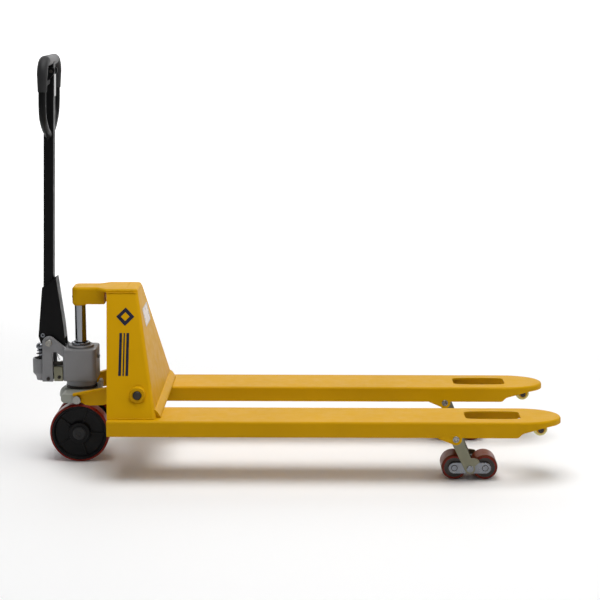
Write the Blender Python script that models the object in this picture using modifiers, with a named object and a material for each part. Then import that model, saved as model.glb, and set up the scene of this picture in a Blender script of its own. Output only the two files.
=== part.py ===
"""Hand pallet jack, as an assembly of separate named pieces.

Metres, +Z up, forks towards +X, +Y to the left of a person at the handle.
The forks stand fully raised. Numbers below are millimetres and become metres in the helpers.
"""
import math

import bmesh
import bpy
from mathutils import Matrix, Vector

MM = 0.001
GAP = 0.3

# ---- driving dimensions (mm) ----
FORK_TOP = 185.0
FORK_BOTTOM = 139.0
FORK_HALF = 80.0
FORK_Y = 195.0
FORK_REAR = -527.5
NOSE_START = 668.0
FORK_TIP = 791.5
SHEET = 5.0
CHASSIS_TOP = 526.0
TOP_HALF = 62.0
LOW_HALF = 250.0
RAM_X = -638.5
RAM_R = 17.0
SHAFT = (-442.5, 250.0)
SHAFT_R = 12.5
YOKE_Z = 203.0
ARM_Y = (95.0, 140.0)
LEG = (480.5, 134.7)
LINK = (525.5, 37.0)
ROLLER_R = 37.0
ROLLER_SPREAD = 45.0
ENTRY = (727.0, 157.0)
LUG1 = 81.2
LUG2 = 37.5
WHEEL_R = 90.0
PIVOT = (-729.5, 361.0)
HANDLE_LEAN = math.radians(1.6)
PISTON_X = -760.0
LIFT = 110.0
FACETS = 0.62  # share of each round piece's full number of sides

for old in list(bpy.data.objects):
    bpy.data.objects.remove(old, do_unlink=True)

SCENE = bpy.context.scene
PARTS = bpy.data.collections.new("pallet_jack")
SCENE.collection.children.link(PARTS)


def material(name, colour, rough=0.5, metal=0.0):
    m = bpy.data.materials.get(name) or bpy.data.materials.new(name)
    m.use_nodes = True
    p = m.node_tree.nodes["Principled BSDF"]
    p.inputs["Base Color"].default_value = (*colour, 1)
    p.inputs["Roughness"].default_value = rough
    p.inputs["Metallic"].default_value = metal
    m.diffuse_color = (*colour, 1)
    return m


YELLOW = material("yellow_paint", (0.60, 0.33, 0.005), 0.4)
CAST = material("grey_casting", (0.19, 0.19, 0.19), 0.5, 0.3)
LIGHT_CAST = material("light_casting", (0.25, 0.26, 0.24), 0.5, 0.3)
ZINC = material("olive_zinc", (0.2, 0.2, 0.14), 0.4, 0.8)
STEEL = material("bright_steel", (0.4, 0.4, 0.4), 0.3, 1.0)
CHROME = material("chrome", (0.8, 0.8, 0.8), 0.08, 1.0)
DARK = material("dark_steel", (0.05, 0.045, 0.04), 0.5, 0.7)
BLACK = material("black_paint", (0.012, 0.012, 0.012), 0.4)
GRIP = material("grip_rubber", (0.03, 0.03, 0.03), 0.7)
CORE = material("black_core", (0.015, 0.015, 0.015), 0.5)
TYRE = material("polyurethane", (0.16, 0.012, 0.004), 0.4)
NYLON = material("nylon", (0.6, 0.55, 0.2), 0.5)
STRIP = material("strip", (0.4, 0.4, 0.4), 0.4)

# ---- bodies: one empty on each joint axis ----
BODY = {}


def body(name, at, parent=None, lean=0.0):
    e = bpy.data.objects.new("axis_" + name, None)
    e.empty_display_size = 0.03
    PARTS.objects.link(e)
    m = Matrix.Translation(Vector(at) * MM) @ Matrix.Rotation(lean, 4, "Y")
    if parent:
        e.parent = BODY[parent][0]
        e.matrix_local = BODY[parent][1].inverted() @ m
    else:
        e.matrix_local = m
    BODY[name] = (e, m)


def put(obj, mat, owner, shade=35.0, placed=False):
    """Gives a piece its material and hangs it on its body; placed: its mesh is already in the body's axes."""
    e, m = BODY[owner]
    if not placed:
        obj.data.transform(Matrix.Translation(-m.translation))
    obj.data.materials.clear()
    obj.data.materials.append(mat)
    for p in obj.data.polygons:
        p.material_index = 0
    obj.parent = e
    obj.matrix_parent_inverse = Matrix.Identity(4)
    if not placed:
        # a piece in world axes on a leaning body would turn, so only upright bodies use this
        obj.location = (0, 0, 0)
    if shade:
        obj.data.shade_smooth()
        obj.data.set_sharp_from_angle(angle=math.radians(shade))
    return obj


def from_bm(name, bm):
    me = bpy.data.meshes.new(name)
    bmesh.ops.recalc_face_normals(bm, faces=bm.faces)
    bm.to_mesh(me)
    bm.free()
    o = bpy.data.objects.new(name, me)
    PARTS.objects.link(o)
    return o


def box(name, x, y, z, bevel=0.0, seg=2):
    bm = bmesh.new()
    bmesh.ops.create_cube(bm, size=1.0)
    bmesh.ops.scale(bm, vec=Vector((x[1] - x[0], y[1] - y[0], z[1] - z[0])) * MM, verts=bm.verts)
    bmesh.ops.translate(bm, vec=Vector((x[0] + x[1], y[0] + y[1], z[0] + z[1])) * (MM / 2), verts=bm.verts)
    if bevel:
        bmesh.ops.bevel(bm, geom=list(bm.edges), offset=bevel * MM, segments=seg, affect="EDGES", profile=0.5)
    return from_bm(name, bm)


TURN = {"Z": Matrix.Identity(4), "Y": Matrix.Rotation(math.radians(-90), 4, "X"), "X": Matrix.Rotation(math.radians(90), 4, "Y")}


def rod(name, r, axis, a, b, c1, c2, seg=28, r2=None):
    """Cylinder from a to b along axis; c1, c2 are the other two coordinates in order."""
    seg = max(10, 2 * round(seg * FACETS / 2))
    bm = bmesh.new()
    bmesh.ops.create_cone(bm, cap_ends=True, segments=seg, radius1=r * MM, radius2=(r if r2 is None else r2) * MM, depth=(b - a) * MM)
    bm.transform(TURN[axis])
    mid = (a + b) / 2
    at = {"X": (mid, c1, c2), "Y": (c1, mid, c2), "Z": (c1, c2, mid)}[axis]
    bmesh.ops.translate(bm, vec=Vector(at) * MM, verts=bm.verts)
    return from_bm(name, bm)


def baked(obj):
    dg = bpy.context.evaluated_depsgraph_get()
    dg.update()
    me = bpy.data.meshes.new_from_object(obj.evaluated_get(dg))
    me.name = obj.name
    return me


def turned(name, profile, axis, at, seg=40):
    """Turned piece: profile is (radius, height) down the outside, height along the axis, closed on the axis or as a ring."""
    seg = max(10, 2 * round(seg * FACETS / 2))
    area = sum(p[0] * q[1] - q[0] * p[1] for p, q in zip(profile, profile[1:] + profile[:1]))
    pts = list(profile) if area < 0 else list(reversed(profile))
    ring = all(p[0] > 0.01 for p in pts)
    bm = bmesh.new()
    vs = [bm.verts.new((r * MM, 0, z * MM)) for r, z in pts]
    n = len(vs)
    for i in range(n if ring else n - 1):
        bm.edges.new((vs[i], vs[(i + 1) % n]))
    me = bpy.data.meshes.new(name)
    bm.to_mesh(me)
    bm.free()
    o = bpy.data.objects.new(name, me)
    PARTS.objects.link(o)
    s = o.modifiers.new("turn", "SCREW")
    s.steps = s.render_steps = seg
    s.use_merge_vertices = True
    s.merge_threshold = 1e-5
    s.use_smooth_shade = True
    o.data = baked(o)
    o.modifiers.clear()
    o.data.transform(Matrix.Translation(Vector(at) * MM) @ TURN[axis])
    bm = bmesh.new()
    bm.from_mesh(o.data)
    bmesh.ops.remove_doubles(bm, verts=bm.verts, dist=1e-6)
    bmesh.ops.recalc_face_normals(bm, faces=bm.faces)
    bm.to_mesh(o.data)
    bm.free()
    return o


def curve_mesh(obj):
    me = baked(obj)
    m = obj.matrix_world.copy()
    name = obj.name
    bpy.data.objects.remove(obj, do_unlink=True)
    bm = bmesh.new()
    bm.from_mesh(me)
    bmesh.ops.remove_doubles(bm, verts=bm.verts, dist=2e-6)
    bmesh.ops.recalc_face_normals(bm, faces=bm.faces)
    bm.to_mesh(me)
    bm.free()
    o = bpy.data.objects.new(name, me)
    o.matrix_world = m
    o.data.transform(m)
    o.matrix_world = Matrix.Identity(4)
    PARTS.objects.link(o)
    return o


def plate(name, outline, axis, a, b, holes=()):
    """Flat outline (two coordinates in mm) extruded from a to b along axis. X: (y, z), Y: (x, z), Z: (x, y)."""
    c = bpy.data.curves.new(name, "CURVE")
    c.dimensions = "2D"
    c.fill_mode = "BOTH"
    c.extrude = (b - a) / 2 * MM
    for loop in [outline, *holes]:
        s = c.splines.new("POLY")
        s.points.add(len(loop) - 1)
        for p, (u, v) in zip(s.points, loop):
            p.co = (u * MM, v * MM, 0, 1)
        s.use_cyclic_u = True
    o = bpy.data.objects.new(name, c)
    PARTS.objects.link(o)
    mid = (a + b) / 2 * MM
    turn = {"Z": Matrix.Identity(4), "Y": Matrix(((1, 0, 0, 0), (0, 0, -1, 0), (0, 1, 0, 0), (0, 0, 0, 1))), "X": Matrix(((0, 0, 1, 0), (1, 0, 0, 0), (0, 1, 0, 0), (0, 0, 0, 1)))}[axis]
    move = {"Z": (0, 0, mid), "Y": (0, mid, 0), "X": (mid, 0, 0)}[axis]
    o.matrix_world = Matrix.Translation(move) @ turn
    bpy.context.view_layer.update()
    return curve_mesh(o)


def tube(name, pts, r, res=2, cyclic=False):
    c = bpy.data.curves.new(name, "CURVE")
    c.dimensions = "3D"
    c.bevel_depth = r * MM
    c.bevel_resolution = res
    c.use_fill_caps = True
    s = c.splines.new("POLY")
    s.points.add(len(pts) - 1)
    for p, q in zip(s.points, pts):
        p.co = (*(Vector(q) * MM), 1)
    s.use_cyclic_u = cyclic
    o = bpy.data.objects.new(name, c)
    PARTS.objects.link(o)
    bpy.context.view_layer.update()
    return curve_mesh(o)


def join(base, op, *others):
    """Boolean UNION, DIFFERENCE or INTERSECT of closed meshes, applied."""
    for other in others:
        m = base.modifiers.new(op, "BOOLEAN")
        m.operation = op
        m.solver = "EXACT"
        m.object = other
        base.data = baked(base)
        base.modifiers.clear()
        bpy.data.objects.remove(other, do_unlink=True)
    bm = bmesh.new()
    bm.from_mesh(base.data)
    bmesh.ops.remove_doubles(bm, verts=bm.verts, dist=2e-6)
    bm.to_mesh(base.data)
    bm.free()
    return base


def arc(cx, cy, r, a0, a1, n):
    n = max(2, round(n * 0.7))
    return [(cx + r * math.cos(math.radians(a0 + (a1 - a0) * i / n)), cy + r * math.sin(math.radians(a0 + (a1 - a0) * i / n))) for i in range(n + 1)]


def circle(cx, cy, r, n=24):
    n = max(8, 2 * round(n * FACETS / 2))
    return [(cx + r * math.cos(2 * math.pi * i / n), cy + r * math.sin(2 * math.pi * i / n)) for i in range(n)]


def hull2(c1, r1, c2, r2, n=10):
    """Outline of two circles with their outer tangents."""
    (x1, y1), (x2, y2) = c1, c2
    d = math.hypot(x2 - x1, y2 - y1)
    th = math.degrees(math.atan2(y2 - y1, x2 - x1))
    b = math.degrees(math.acos(max(-1, min(1, (r1 - r2) / d))))
    return arc(x1, y1, r1, th + b, th + 360 - b, n) + arc(x2, y2, r2, th - b, th + b, n)


def rounded(x0, x1, y0, y1, r, n=4):
    rs = r if isinstance(r, (tuple, list)) else (r, r, r, r)
    out = []
    for (cx, cy, a), q in zip(((x0, y0, 180), (x1, y0, 270), (x1, y1, 0), (x0, y1, 90)), rs):
        sx, sy = (1 if cx == x0 else -1), (1 if cy == y0 else -1)
        out += arc(cx + sx * q, cy + sy * q, q, a, a + 90, n) if q else [(cx, cy)]
    return out


# ---- joint axes ----
SIDES = (("right", -1), ("left", 1))
body("root", (0, 0, 0))
body("yoke", (RAM_X, 0, YOKE_Z), "root")
body("pump", (RAM_X, 0, 217.0), "yoke")
body("handle", (PIVOT[0], 0, PIVOT[1]), "pump", HANDLE_LEAN)
LEVER = (3.0, 0.0, 815.0)
LEVER_W = BODY["handle"][1] @ (Vector(LEVER) * MM)
body("control_lever", tuple(LEVER_W / MM), "handle", HANDLE_LEAN)
body("piston", (PISTON_X, 0, 300.0), "pump")
RELEASE = (-694.0, 0.0, 295.5)
body("release_lever", RELEASE, "pump")
body("crank", (SHAFT[0], 0, SHAFT[1]), "root")
CRANK_A = math.radians(15.75)
LEG_B = math.radians(35.92)
LUG_W = (LEG[0] + LUG2 * math.sin(LEG_B), LEG[1] + LUG2 * math.cos(LEG_B))
for s, k in SIDES:
    body("steer_wheel_" + s, (RAM_X, k * 50.0, WHEEL_R), "pump")
    body("leg_" + s, (LEG[0], k * FORK_Y, LEG[1]), "root")
    body("push_rod_" + s, (LUG_W[0], k * FORK_Y, LUG_W[1]), "leg_" + s)
    body("bogie_" + s, (LINK[0], k * FORK_Y, LINK[1]), "leg_" + s)
    for w, d in (("rear", -1), ("front", 1)):
        body(f"load_roller_{s}_{w}", (LINK[0] + d * ROLLER_SPREAD, k * FORK_Y, LINK[1]), "bogie_" + s)
    body("entry_roller_" + s, (ENTRY[0], k * FORK_Y, ENTRY[1]), "root")


# ---- forks ----
def nose_outline(half, length, start, rear, n=9):
    """Plan of a fork: straight sides and a nearly elliptical nose."""
    pts = [(rear, -half), (start, -half)]
    for i in range(1, 2 * n):
        t = math.pi * i / (2 * n) - math.pi / 2
        x, y = math.cos(t), math.sin(t)
        pts.append((start + length * abs(x) ** 0.95, half * abs(y) ** 0.95 * (1 if y > 0 else -1)))
    return pts + [(start, half), (rear, half)]


def fork(s, k):
    yc = k * FORK_Y
    side = [(FORK_REAR, FORK_BOTTOM), (659.0, FORK_BOTTOM), (664.0, 143.0), (671.0, 151.0), (702.0, 159.5), (735.0, 166.5), (FORK_TIP + 3, 168.5),
            (FORK_TIP + 3, FORK_TOP), (FORK_REAR, FORK_TOP)]
    o = plate("fork_" + s, side, "Y", yc - 90, yc + 90)
    plan = [(x, yc + y) for x, y in nose_outline(FORK_HALF, FORK_TIP - NOSE_START, NOSE_START, FORK_REAR - 20)]
    join(o, "INTERSECT", plate("tmp_plan", plan, "Z", 100, 250))
    inner = [(x, yc + y) for x, y in nose_outline(FORK_HALF - SHEET, FORK_TIP - NOSE_START - SHEET, NOSE_START, FORK_REAR - 30, 8)]
    join(o, "DIFFERENCE", plate("tmp_inner", inner, "Z", 90, FORK_TOP - SHEET))
    # inner ear, part of the inner wall
    yi = yc - k * 74.7
    ear = plate("tmp_ear", hull2((432.0, 142.0), 4.0, LEG, 17.0), "Y", min(yi, yi - k * 5.2), max(yi, yi - k * 5.2))
    join(o, "UNION", ear)
    join(o, "DIFFERENCE", rod("tmp_hole", 9.8, "Y", min(yi - k * 20, yi + k * 20), max(yi - k * 20, yi + k * 20), LEG[0], LEG[1]))
    # recess for the outer ear
    yo = yc + k * 78
    join(o, "DIFFERENCE", plate("tmp_recess", hull2((432.0, 138.0), 2.4, LEG, 17.4), "Y", yo - 8, yo + 8))
    # slot over the load rollers and opening for the crank lug
    slot = [(511.5, -32), (524, -38), (545, -40), (592, -41), (638, -40), (660, -38), (672.5, -32), (672.5, 32), (660, 38), (638, 40), (592, 41), (545, 40), (524, 38), (511.5, 32)]
    join(o, "DIFFERENCE", plate("tmp_slot", [(x, yc + y) for x, y in slot], "Z", 170, 200))
    join(o, "DIFFERENCE", box("tmp_lug", (-500, -385), (yc - 22, yc + 22), (170, 200)))
    # holes for the entry roller's axle bracket are drilled through the nose walls
    return put(o, YELLOW, "root")


for s, k in SIDES:
    fork(s, k)
    yc = k * FORK_Y
    e0, e1 = sorted((yc + k * 73.0, yc + k * 80.8))
    ear = plate("leg_ear_" + s, hull2((432.0, 138.0), 2.0, LEG, 17.0), "Y", e0, e1, [circle(LEG[0], LEG[1], 9.9)])
    put(ear, YELLOW, "root")
    pin = turned("leg_pin_" + s, [(0, 82.0), (8.6, 82.0), (9.5, 81.0), (9.5, -81.0), (8.6, -82.0), (0, -82.0)], "Y", (LEG[0], yc, LEG[1]), 28)
    put(pin, STEEL, "root")


# ---- chassis: truncated pyramid of sheet, open at the rear and below ----
def half_width(z):
    return TOP_HALF + (CHASSIS_TOP - z) / (CHASSIS_TOP - 190.0) * (LOW_HALF - TOP_HALF)


def rear_x(z):
    return -549.0 + (CHASSIS_TOP - z) / (CHASSIS_TOP - 190.0) * 19.5


def front_x(z):
    return -456.5 + (CHASSIS_TOP - z) / (CHASSIS_TOP - 190.0) * 69.0


Z0, Z1 = FORK_TOP + GAP, CHASSIS_TOP - SHEET - GAP
for s, k in SIDES:
    bm = bmesh.new()
    ring = []
    for z in (Z0, Z1):
        for x in (rear_x(z), front_x(z) - 7.0):
            ring.append(bm.verts.new(Vector((x, k * half_width(z), z)) * MM))
    bm.faces.new((ring[0], ring[1], ring[3], ring[2]))
    o = from_bm("side_panel_" + s, bm)
    m = o.modifiers.new("sheet", "SOLIDIFY")
    m.thickness = SHEET * MM
    m.use_even_offset = True
    m.offset = 1.0 if (o.data.polygons[0].normal.y * k) < 0 else -1.0
    o.data = baked(o)
    o.modifiers.clear()
    # trim flat at the top and the fork so neighbours keep their gap
    join(o, "INTERSECT", box("tmp_trim", (-700, -300), (-400, 400), (Z0, Z1)))
    boss = [k * 200.0, k * 260.0]
    join(o, "DIFFERENCE", rod("tmp_boss", 23.4, "Y", min(boss), max(boss), *SHAFT))
    put(o, YELLOW, "root")
    b0, b1 = sorted((k * 208.0, k * 231.0))
    ringp = [(23.0, 11.5), (23.0, -11.5), (13.0, -11.5), (13.0, 11.5)]
    put(turned("shaft_boss_" + s, ringp, "Y", (SHAFT[0], (b0 + b1) / 2, SHAFT[1]), 32), YELLOW, "root")
put(rod("crank_shaft", SHAFT_R, "Y", -235.0, 235.0, *SHAFT), DARK, "root")

# front plate with the kick ridge at its base
bm = bmesh.new()
ring = []
for z in (Z0, Z1):
    for y in (-1, 1):
        ring.append(bm.verts.new(Vector((front_x(z), y * (half_width(z) - 0.5), z)) * MM))
bm.faces.new((ring[0], ring[1], ring[3], ring[2]))
o = from_bm("front_plate", bm)
m = o.modifiers.new("sheet", "SOLIDIFY")
m.thickness = SHEET * MM
m.use_even_offset = True
m.offset = 1.0 if o.data.polygons[0].normal.x < 0 else -1.0
o.data = baked(o)
o.modifiers.clear()
join(o, "INTERSECT", box("tmp_trim", (-700, -300), (-400, 400), (Z0, Z1)))
ridge = plate("tmp_ridge", [(front_x(205) - 3, 205), (front_x(205) + 6, 203), (front_x(193) + 14, 191), (front_x(193) + 14, Z0), (front_x(193) - 3, Z0)], "Y", -236, 236)
join(o, "UNION", ridge)
put(o, YELLOW, "root")

# top plate with the nose that reaches over the ram
NOSE = [(-658.5, -18.0)] + arc(-638.5, -18.0, 20.0, 180, 270, 5)[1:]
plan = NOSE + [(-575.0, -39.0), (-549.0, -TOP_HALF), (-461.0, -TOP_HALF), (-456.5, -TOP_HALF + 5)]
plan = plan + [(x, -y) for x, y in reversed(plan)]
o = plate("top_plate", plan, "Z", CHASSIS_TOP - SHEET, CHASSIS_TOP + 5.0)
rim = plate("tmp_rim", NOSE + [(-560.0, -38.5), (-560.0, 38.5)] + [(x, -y) for x, y in reversed(NOSE)], "Z", 480.0, CHASSIS_TOP)
join(rim, "DIFFERENCE", plate("tmp_wedge", [(-680.0, 470.0), (-614.0, 470.0), (-616.0, 480.0), (-661.0, 506.0), (-680.0, 506.0)], "Y", -60, 60))
join(rim, "UNION", rod("tmp_boss", 20.4, "Z", 480.3, 521.7, RAM_X, 0.0, 40))
join(o, "UNION", rim)
join(o, "DIFFERENCE", rod("tmp_set", 3.4, "X", -690.0, -645.0, 0.0, 496.0, 16))
put(o, YELLOW, "root")
put(rod("set_screw", 3.0, "X", -662.6, -646.0, 0.0, 496.0, 16), DARK, "root")
put(turned("ram_cup", [(20.4, 479.9), (20.4, 473.0), (19.4, 471.5), (RAM_R + 0.35, 471.5), (RAM_R + 0.35, 479.9)], "Z", (RAM_X, 0, 0), 36), YELLOW, "root")
put(turned("ram", [(0, 479.5), (RAM_R, 479.5), (RAM_R, 331.0), (RAM_R - 2, 329.0), (0, 329.0)], "Z", (RAM_X, 0, 0), 36), CHROME, "root")

# ---- thrust yoke, slides up when the forks come down ----
dome = turned("thrust_yoke", [(50.0, 218.0), (58.0, 214.5), (66.0, 206.0), (68.0, 197.0), (68.0, 189.0), (34.0, 189.0), (34.0, 218.0)], "Z", (RAM_X, 0, 0), 40)
for k in (-1, 1):
    y0, y1 = sorted((k * 40.0, k * 91.0))
    blk = plate("tmp_block", rounded(-689.0, -625.0, 187.5, 215.5, 11.0), "Y", y0, y1)
    join(blk, "DIFFERENCE", rod("tmp_bore", 40.0, "Z", 150, 250, RAM_X, 0.0, 40))
    join(dome, "UNION", blk)
    y0, y1 = sorted((k * 80.0, k * 112.0))
    join(dome, "UNION", rod("tmp_trunnion", 10.5, "Y", y0, y1, RAM_X, YOKE_Z, 24))
    y0, y1 = sorted((k * 109.0, k * 114.0))
    join(dome, "UNION", rod("tmp_head", 13.0, "Y", y0, y1, RAM_X, YOKE_Z, 24))
lug = plate("tmp_lug", [(-592.0, 196.0), (-578.0, 196.0), (-574.0, 232.0), (-578.0, 239.0), (-585.0, 239.0), (-589.0, 232.0)], "Y", -16, 16)
join(dome, "UNION", lug)
put(dome, LIGHT_CAST, "yoke")
put(turned("thrust_bearing", [(47.0, 225.5), (47.0, 218.3), (32.0, 218.3), (32.0, 225.5)], "Z", (RAM_X, 0, 0), 40), STEEL, "yoke")

# ---- pump, swivels on the yoke ----
house = plate("pump_housing", rounded(-688.0, -588.0, -50.0, 50.0, (8, 13, 13, 8), 5), "Z", 244.0, 342.0)
join(house, "UNION", rod("tmp_neck1", 46.0, "Z", 226.0, 246.0, RAM_X, 0.0, 40))
join(house, "UNION", rod("tmp_neck2", 31.0, "Z", 186.0, 230.0, RAM_X, 0.0, 36))
join(house, "UNION", box("tmp_block", (RAM_X - 27, RAM_X + 27), (-21, 21), (64, 188), 3.0, 1))
join(house, "UNION", turned("tmp_flange", [(0, 349.0), (37.0, 349.0), (39.0, 347.0), (39.0, 338.0), (0, 338.0)], "Z", (RAM_X, 0, 0), 40))
# piston cylinder and the web that carries it
join(house, "UNION", plate("tmp_web", [(-752.0, 262.0), (-680.0, 262.0), (-680.0, 246.0), (-745.0, 242.0)], "Y", -14.0, 14.0))
join(house, "UNION", turned("tmp_cup", [(0, 306.0), (26.0, 306.0), (27.0, 302.0), (27.0, 262.0), (18.0, 250.0), (16.0, 238.0), (0, 238.0)], "Z", (PISTON_X, 0, 0), 32))
for k in (-1, 1):
    y0, y1 = sorted((k * 30.0, k * 42.0))
    px, pz = PIVOT
    out = [(px - 23.0, 240.5)] + arc(px, pz, 20.0, 180 + 5, 40, 8) + [(-678.0, 344.0), (-678.0, 310.0), (-711.0, 333.0), (px + 10.5, 330.0), (px + 10.5, 240.5)]
    arm = plate("tmp_arm", out, "Y", y0, y1)
    join(house, "UNION", arm)
    y0, y1 = sorted((k * 10.0, k * 34.0))
    join(house, "UNION", box("tmp_foot", (px - 20.0, px + 8.0), (y0, y1), (242.0, 262.0)))
join(house, "DIFFERENCE", rod("tmp_cupbore", 21.0, "Z", 268.0, 320.0, PISTON_X, 0.0, 32))
join(house, "DIFFERENCE", rod("tmp_cupbore2", 9.4, "Z", 246.0, 300.0, PISTON_X, 0.0, 24))
join(house, "DIFFERENCE", rod("tmp_bore", RAM_R + 0.5, "Z", 212.0, 360.0, RAM_X, 0.0, 40))
join(house, "DIFFERENCE", rod("tmp_pivot", 10.8, "Y", -60.0, 60.0, px, pz, 28))
join(house, "DIFFERENCE", rod("tmp_axle", 10.3, "Y", -60.0, 60.0, RAM_X, WHEEL_R, 28))
join(house, "DIFFERENCE", rod("tmp_fill", 5.3, "X", -600.0, -580.0, 0.0, 312.0, 16))
put(house, CAST, "pump")
nut = plate("gland_nut", circle(RAM_X, 0.0, 29.0, 8), "Z", 349.3, 356.5)
join(nut, "DIFFERENCE", rod("tmp_bore", RAM_R + 0.5, "Z", 340.0, 370.0, RAM_X, 0.0, 32))
put(nut, STEEL, "pump")
put(turned("filler_bolt", [(0, 18.0), (5.5, 18.0), (6.5, 17.0), (6.5, 12.3), (5.0, 12.3), (5.0, 2.0), (0, 2.0)], "X", (-600.0, 0.0, 312.0), 16), STEEL, "pump")
valve = box("valve_block", (-716.0, -689.0), (-44.0, -15.0), (243.0, 288.0), 2.0, 1)
join(valve, "UNION", rod("tmp_screw", 5.0, "Y", -48.0, -30.0, -700.0, 256.0, 16))
put(valve, ZINC, "pump")
put(turned("steer_axle", [(0, 80.5), (17.0, 80.5), (20.0, 77.5), (20.0, 75.5), (10.0, 75.5), (10.0, -75.5), (20.0, -75.5), (20.0, -77.5), (17.0, -80.5), (0, -80.5)], "Y", (RAM_X, 0, WHEEL_R), 28), STEEL, "pump")
put(turned("handle_pivot_pin", [(0, 46.0), (9.5, 46.0), (10.5, 45.0), (10.5, -45.0), (9.5, -46.0), (0, -46.0)], "Y", (PIVOT[0], 0, PIVOT[1]), 28), STEEL, "pump")
CHAIN = [(-702.0, -23.0, 304.5), (-704.0, -22.5, 312.0), (-707.0, -22.0, 320.0), (-710.0, -21.0, 330.0), (-712.0, -20.0, 338.0)]

# release lever above the valve block, and its chain
lev = plate("release_lever", [(-722.0, 290.0), (-691.0, 289.5), (-689.0, 296.0), (-694.0, 301.5), (-703.0, 299.0), (-714.0, 301.5), (-723.0, 297.0)], "Y", -29.0, -17.0)
put(lev, DARK, "release_lever")
put(tube("release_chain", CHAIN, 2.0, 1), DARK, "release_lever")

# ---- piston and spring ----
put(turned("pump_piston", [(0, 353.0), (8.0, 352.0), (14.0, 348.0), (16.0, 342.0), (16.0, 338.0), (11.0, 333.0), (9.0, 331.0), (14.0, 330.0), (14.0, 327.5), (8.8, 326.0), (8.8, 274.0), (0, 274.0)], "Z", (PISTON_X, 0, 0), 32), STEEL, "piston")
turns, per = 5.0, 12
coil = []
for i in range(int(turns * per) + 1):
    a = 2 * math.pi * i / per
    coil.append((PISTON_X + 14.0 * math.cos(a), 14.0 * math.sin(a), 271.0 + (325.0 - 271.0) * i / (turns * per)))
put(tube("pump_spring", coil, 1.6, 1), DARK, "piston")

# ---- steer wheels: ribbed core and tyre ----
for s, k in SIDES:
    yc = k * 50.0
    core = turned("steer_wheel_core_" + s, [(83.0, 24.5), (83.0, -24.5), (76.0, -24.5), (74.0, -6.0), (32.0, -6.0), (32.0, -24.5), (10.4, -24.5), (10.4, 24.5), (32.0, 24.5), (32.0, 6.0), (74.0, 6.0), (76.0, 24.5)], "Y", (RAM_X, yc, WHEEL_R), 40)
    for i in range(5):
        a = math.radians(90 + 72 * i)
        rib = box("tmp_rib", (28.0, 78.0), (-20.0, 20.0), (-4.0, 4.0))
        rib.data.transform(Matrix.Translation(Vector((RAM_X, yc, WHEEL_R)) * MM) @ Matrix.Rotation(-a, 4, "Y"))
        join(core, "UNION", rib)
    put(core, CORE, "steer_wheel_" + s)
    put(turned("steer_wheel_tyre_" + s, [(90.0, 20.0), (90.0, -20.0), (87.0, -25.0), (84.2, -25.0), (84.2, 25.0), (87.0, 25.0)], "Y", (RAM_X, yc, WHEEL_R), 58), TYRE, "steer_wheel_" + s)


# ---- crank: cross tube, two arms to the yoke, two lugs to the push rods ----
crank = rod("crank_frame", 19.0, "Y", -207.0, 207.0, SHAFT[0], SHAFT[1], 28)
for s, k in SIDES:
    out = [(-650.0, 220.0), (-650.0, 212.0), (-612.0, 186.5), (-560.0, 190.0), (-440.0, 231.0), (-424.0, 246.0), (-426.0, 262.0), (-440.0, 270.0), (-480.0, 266.0), (-546.0, 246.0)]
    arm = plate("tmp_arm", out, "Y", -4.5, 4.5)
    saddle = plate("tmp_saddle", arc(RAM_X + 6.5, YOKE_Z, 12.7, 90, -90, 8) + [(RAM_X - 40, YOKE_Z - 12.7), (RAM_X - 40, YOKE_Z + 12.7)], "Y", -30, 30)
    join(arm, "DIFFERENCE", saddle)
    flange = plate("tmp_flange", [(-650.0, 221.0), (-650.0, 216.0), (-546.0, 241.0), (-480.0, 262.0), (-480.0, 268.0), (-546.0, 247.0)], "Y", k * 8.0 - 8.0, k * 8.0 + 8.0)
    join(arm, "UNION", flange)
    slope = (ARM_Y[1] - ARM_Y[0]) / (SHAFT[0] - RAM_X)
    shear = Matrix(((1, 0, 0, 0), (k * slope, 1, 0, k * (ARM_Y[0] + 3.5 - slope * RAM_X) * MM), (0, 0, 1, 0), (0, 0, 0, 1)))
    arm.data.transform(shear)
    join(crank, "UNION", arm)
    lx, lz = SHAFT[0] + LUG1 * math.sin(CRANK_A), SHAFT[1] - LUG1 * math.cos(CRANK_A)
    for d in (-1, 1):
        y0, y1 = sorted((k * FORK_Y + d * 7.0, k * FORK_Y + d * 12.0))
        if abs(y1) > 199.5 and abs(y0) > 199.5 and d * k > 0:
            y1, y0 = (y1, y0)
        join(crank, "UNION", plate("tmp_lug", hull2((SHAFT[0], SHAFT[1]), 21.0, (lx, lz), 9.0), "Y", y0, y1))
    join(crank, "UNION", rod("tmp_pin", 5.0, "Y", k * FORK_Y - 11.0, k * FORK_Y + 11.0, lx, lz, 16))
join(crank, "DIFFERENCE", rod("tmp_bore", SHAFT_R + 0.4, "Y", -260.0, 260.0, SHAFT[0], SHAFT[1], 28))
put(crank, YELLOW, "crank")

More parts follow.
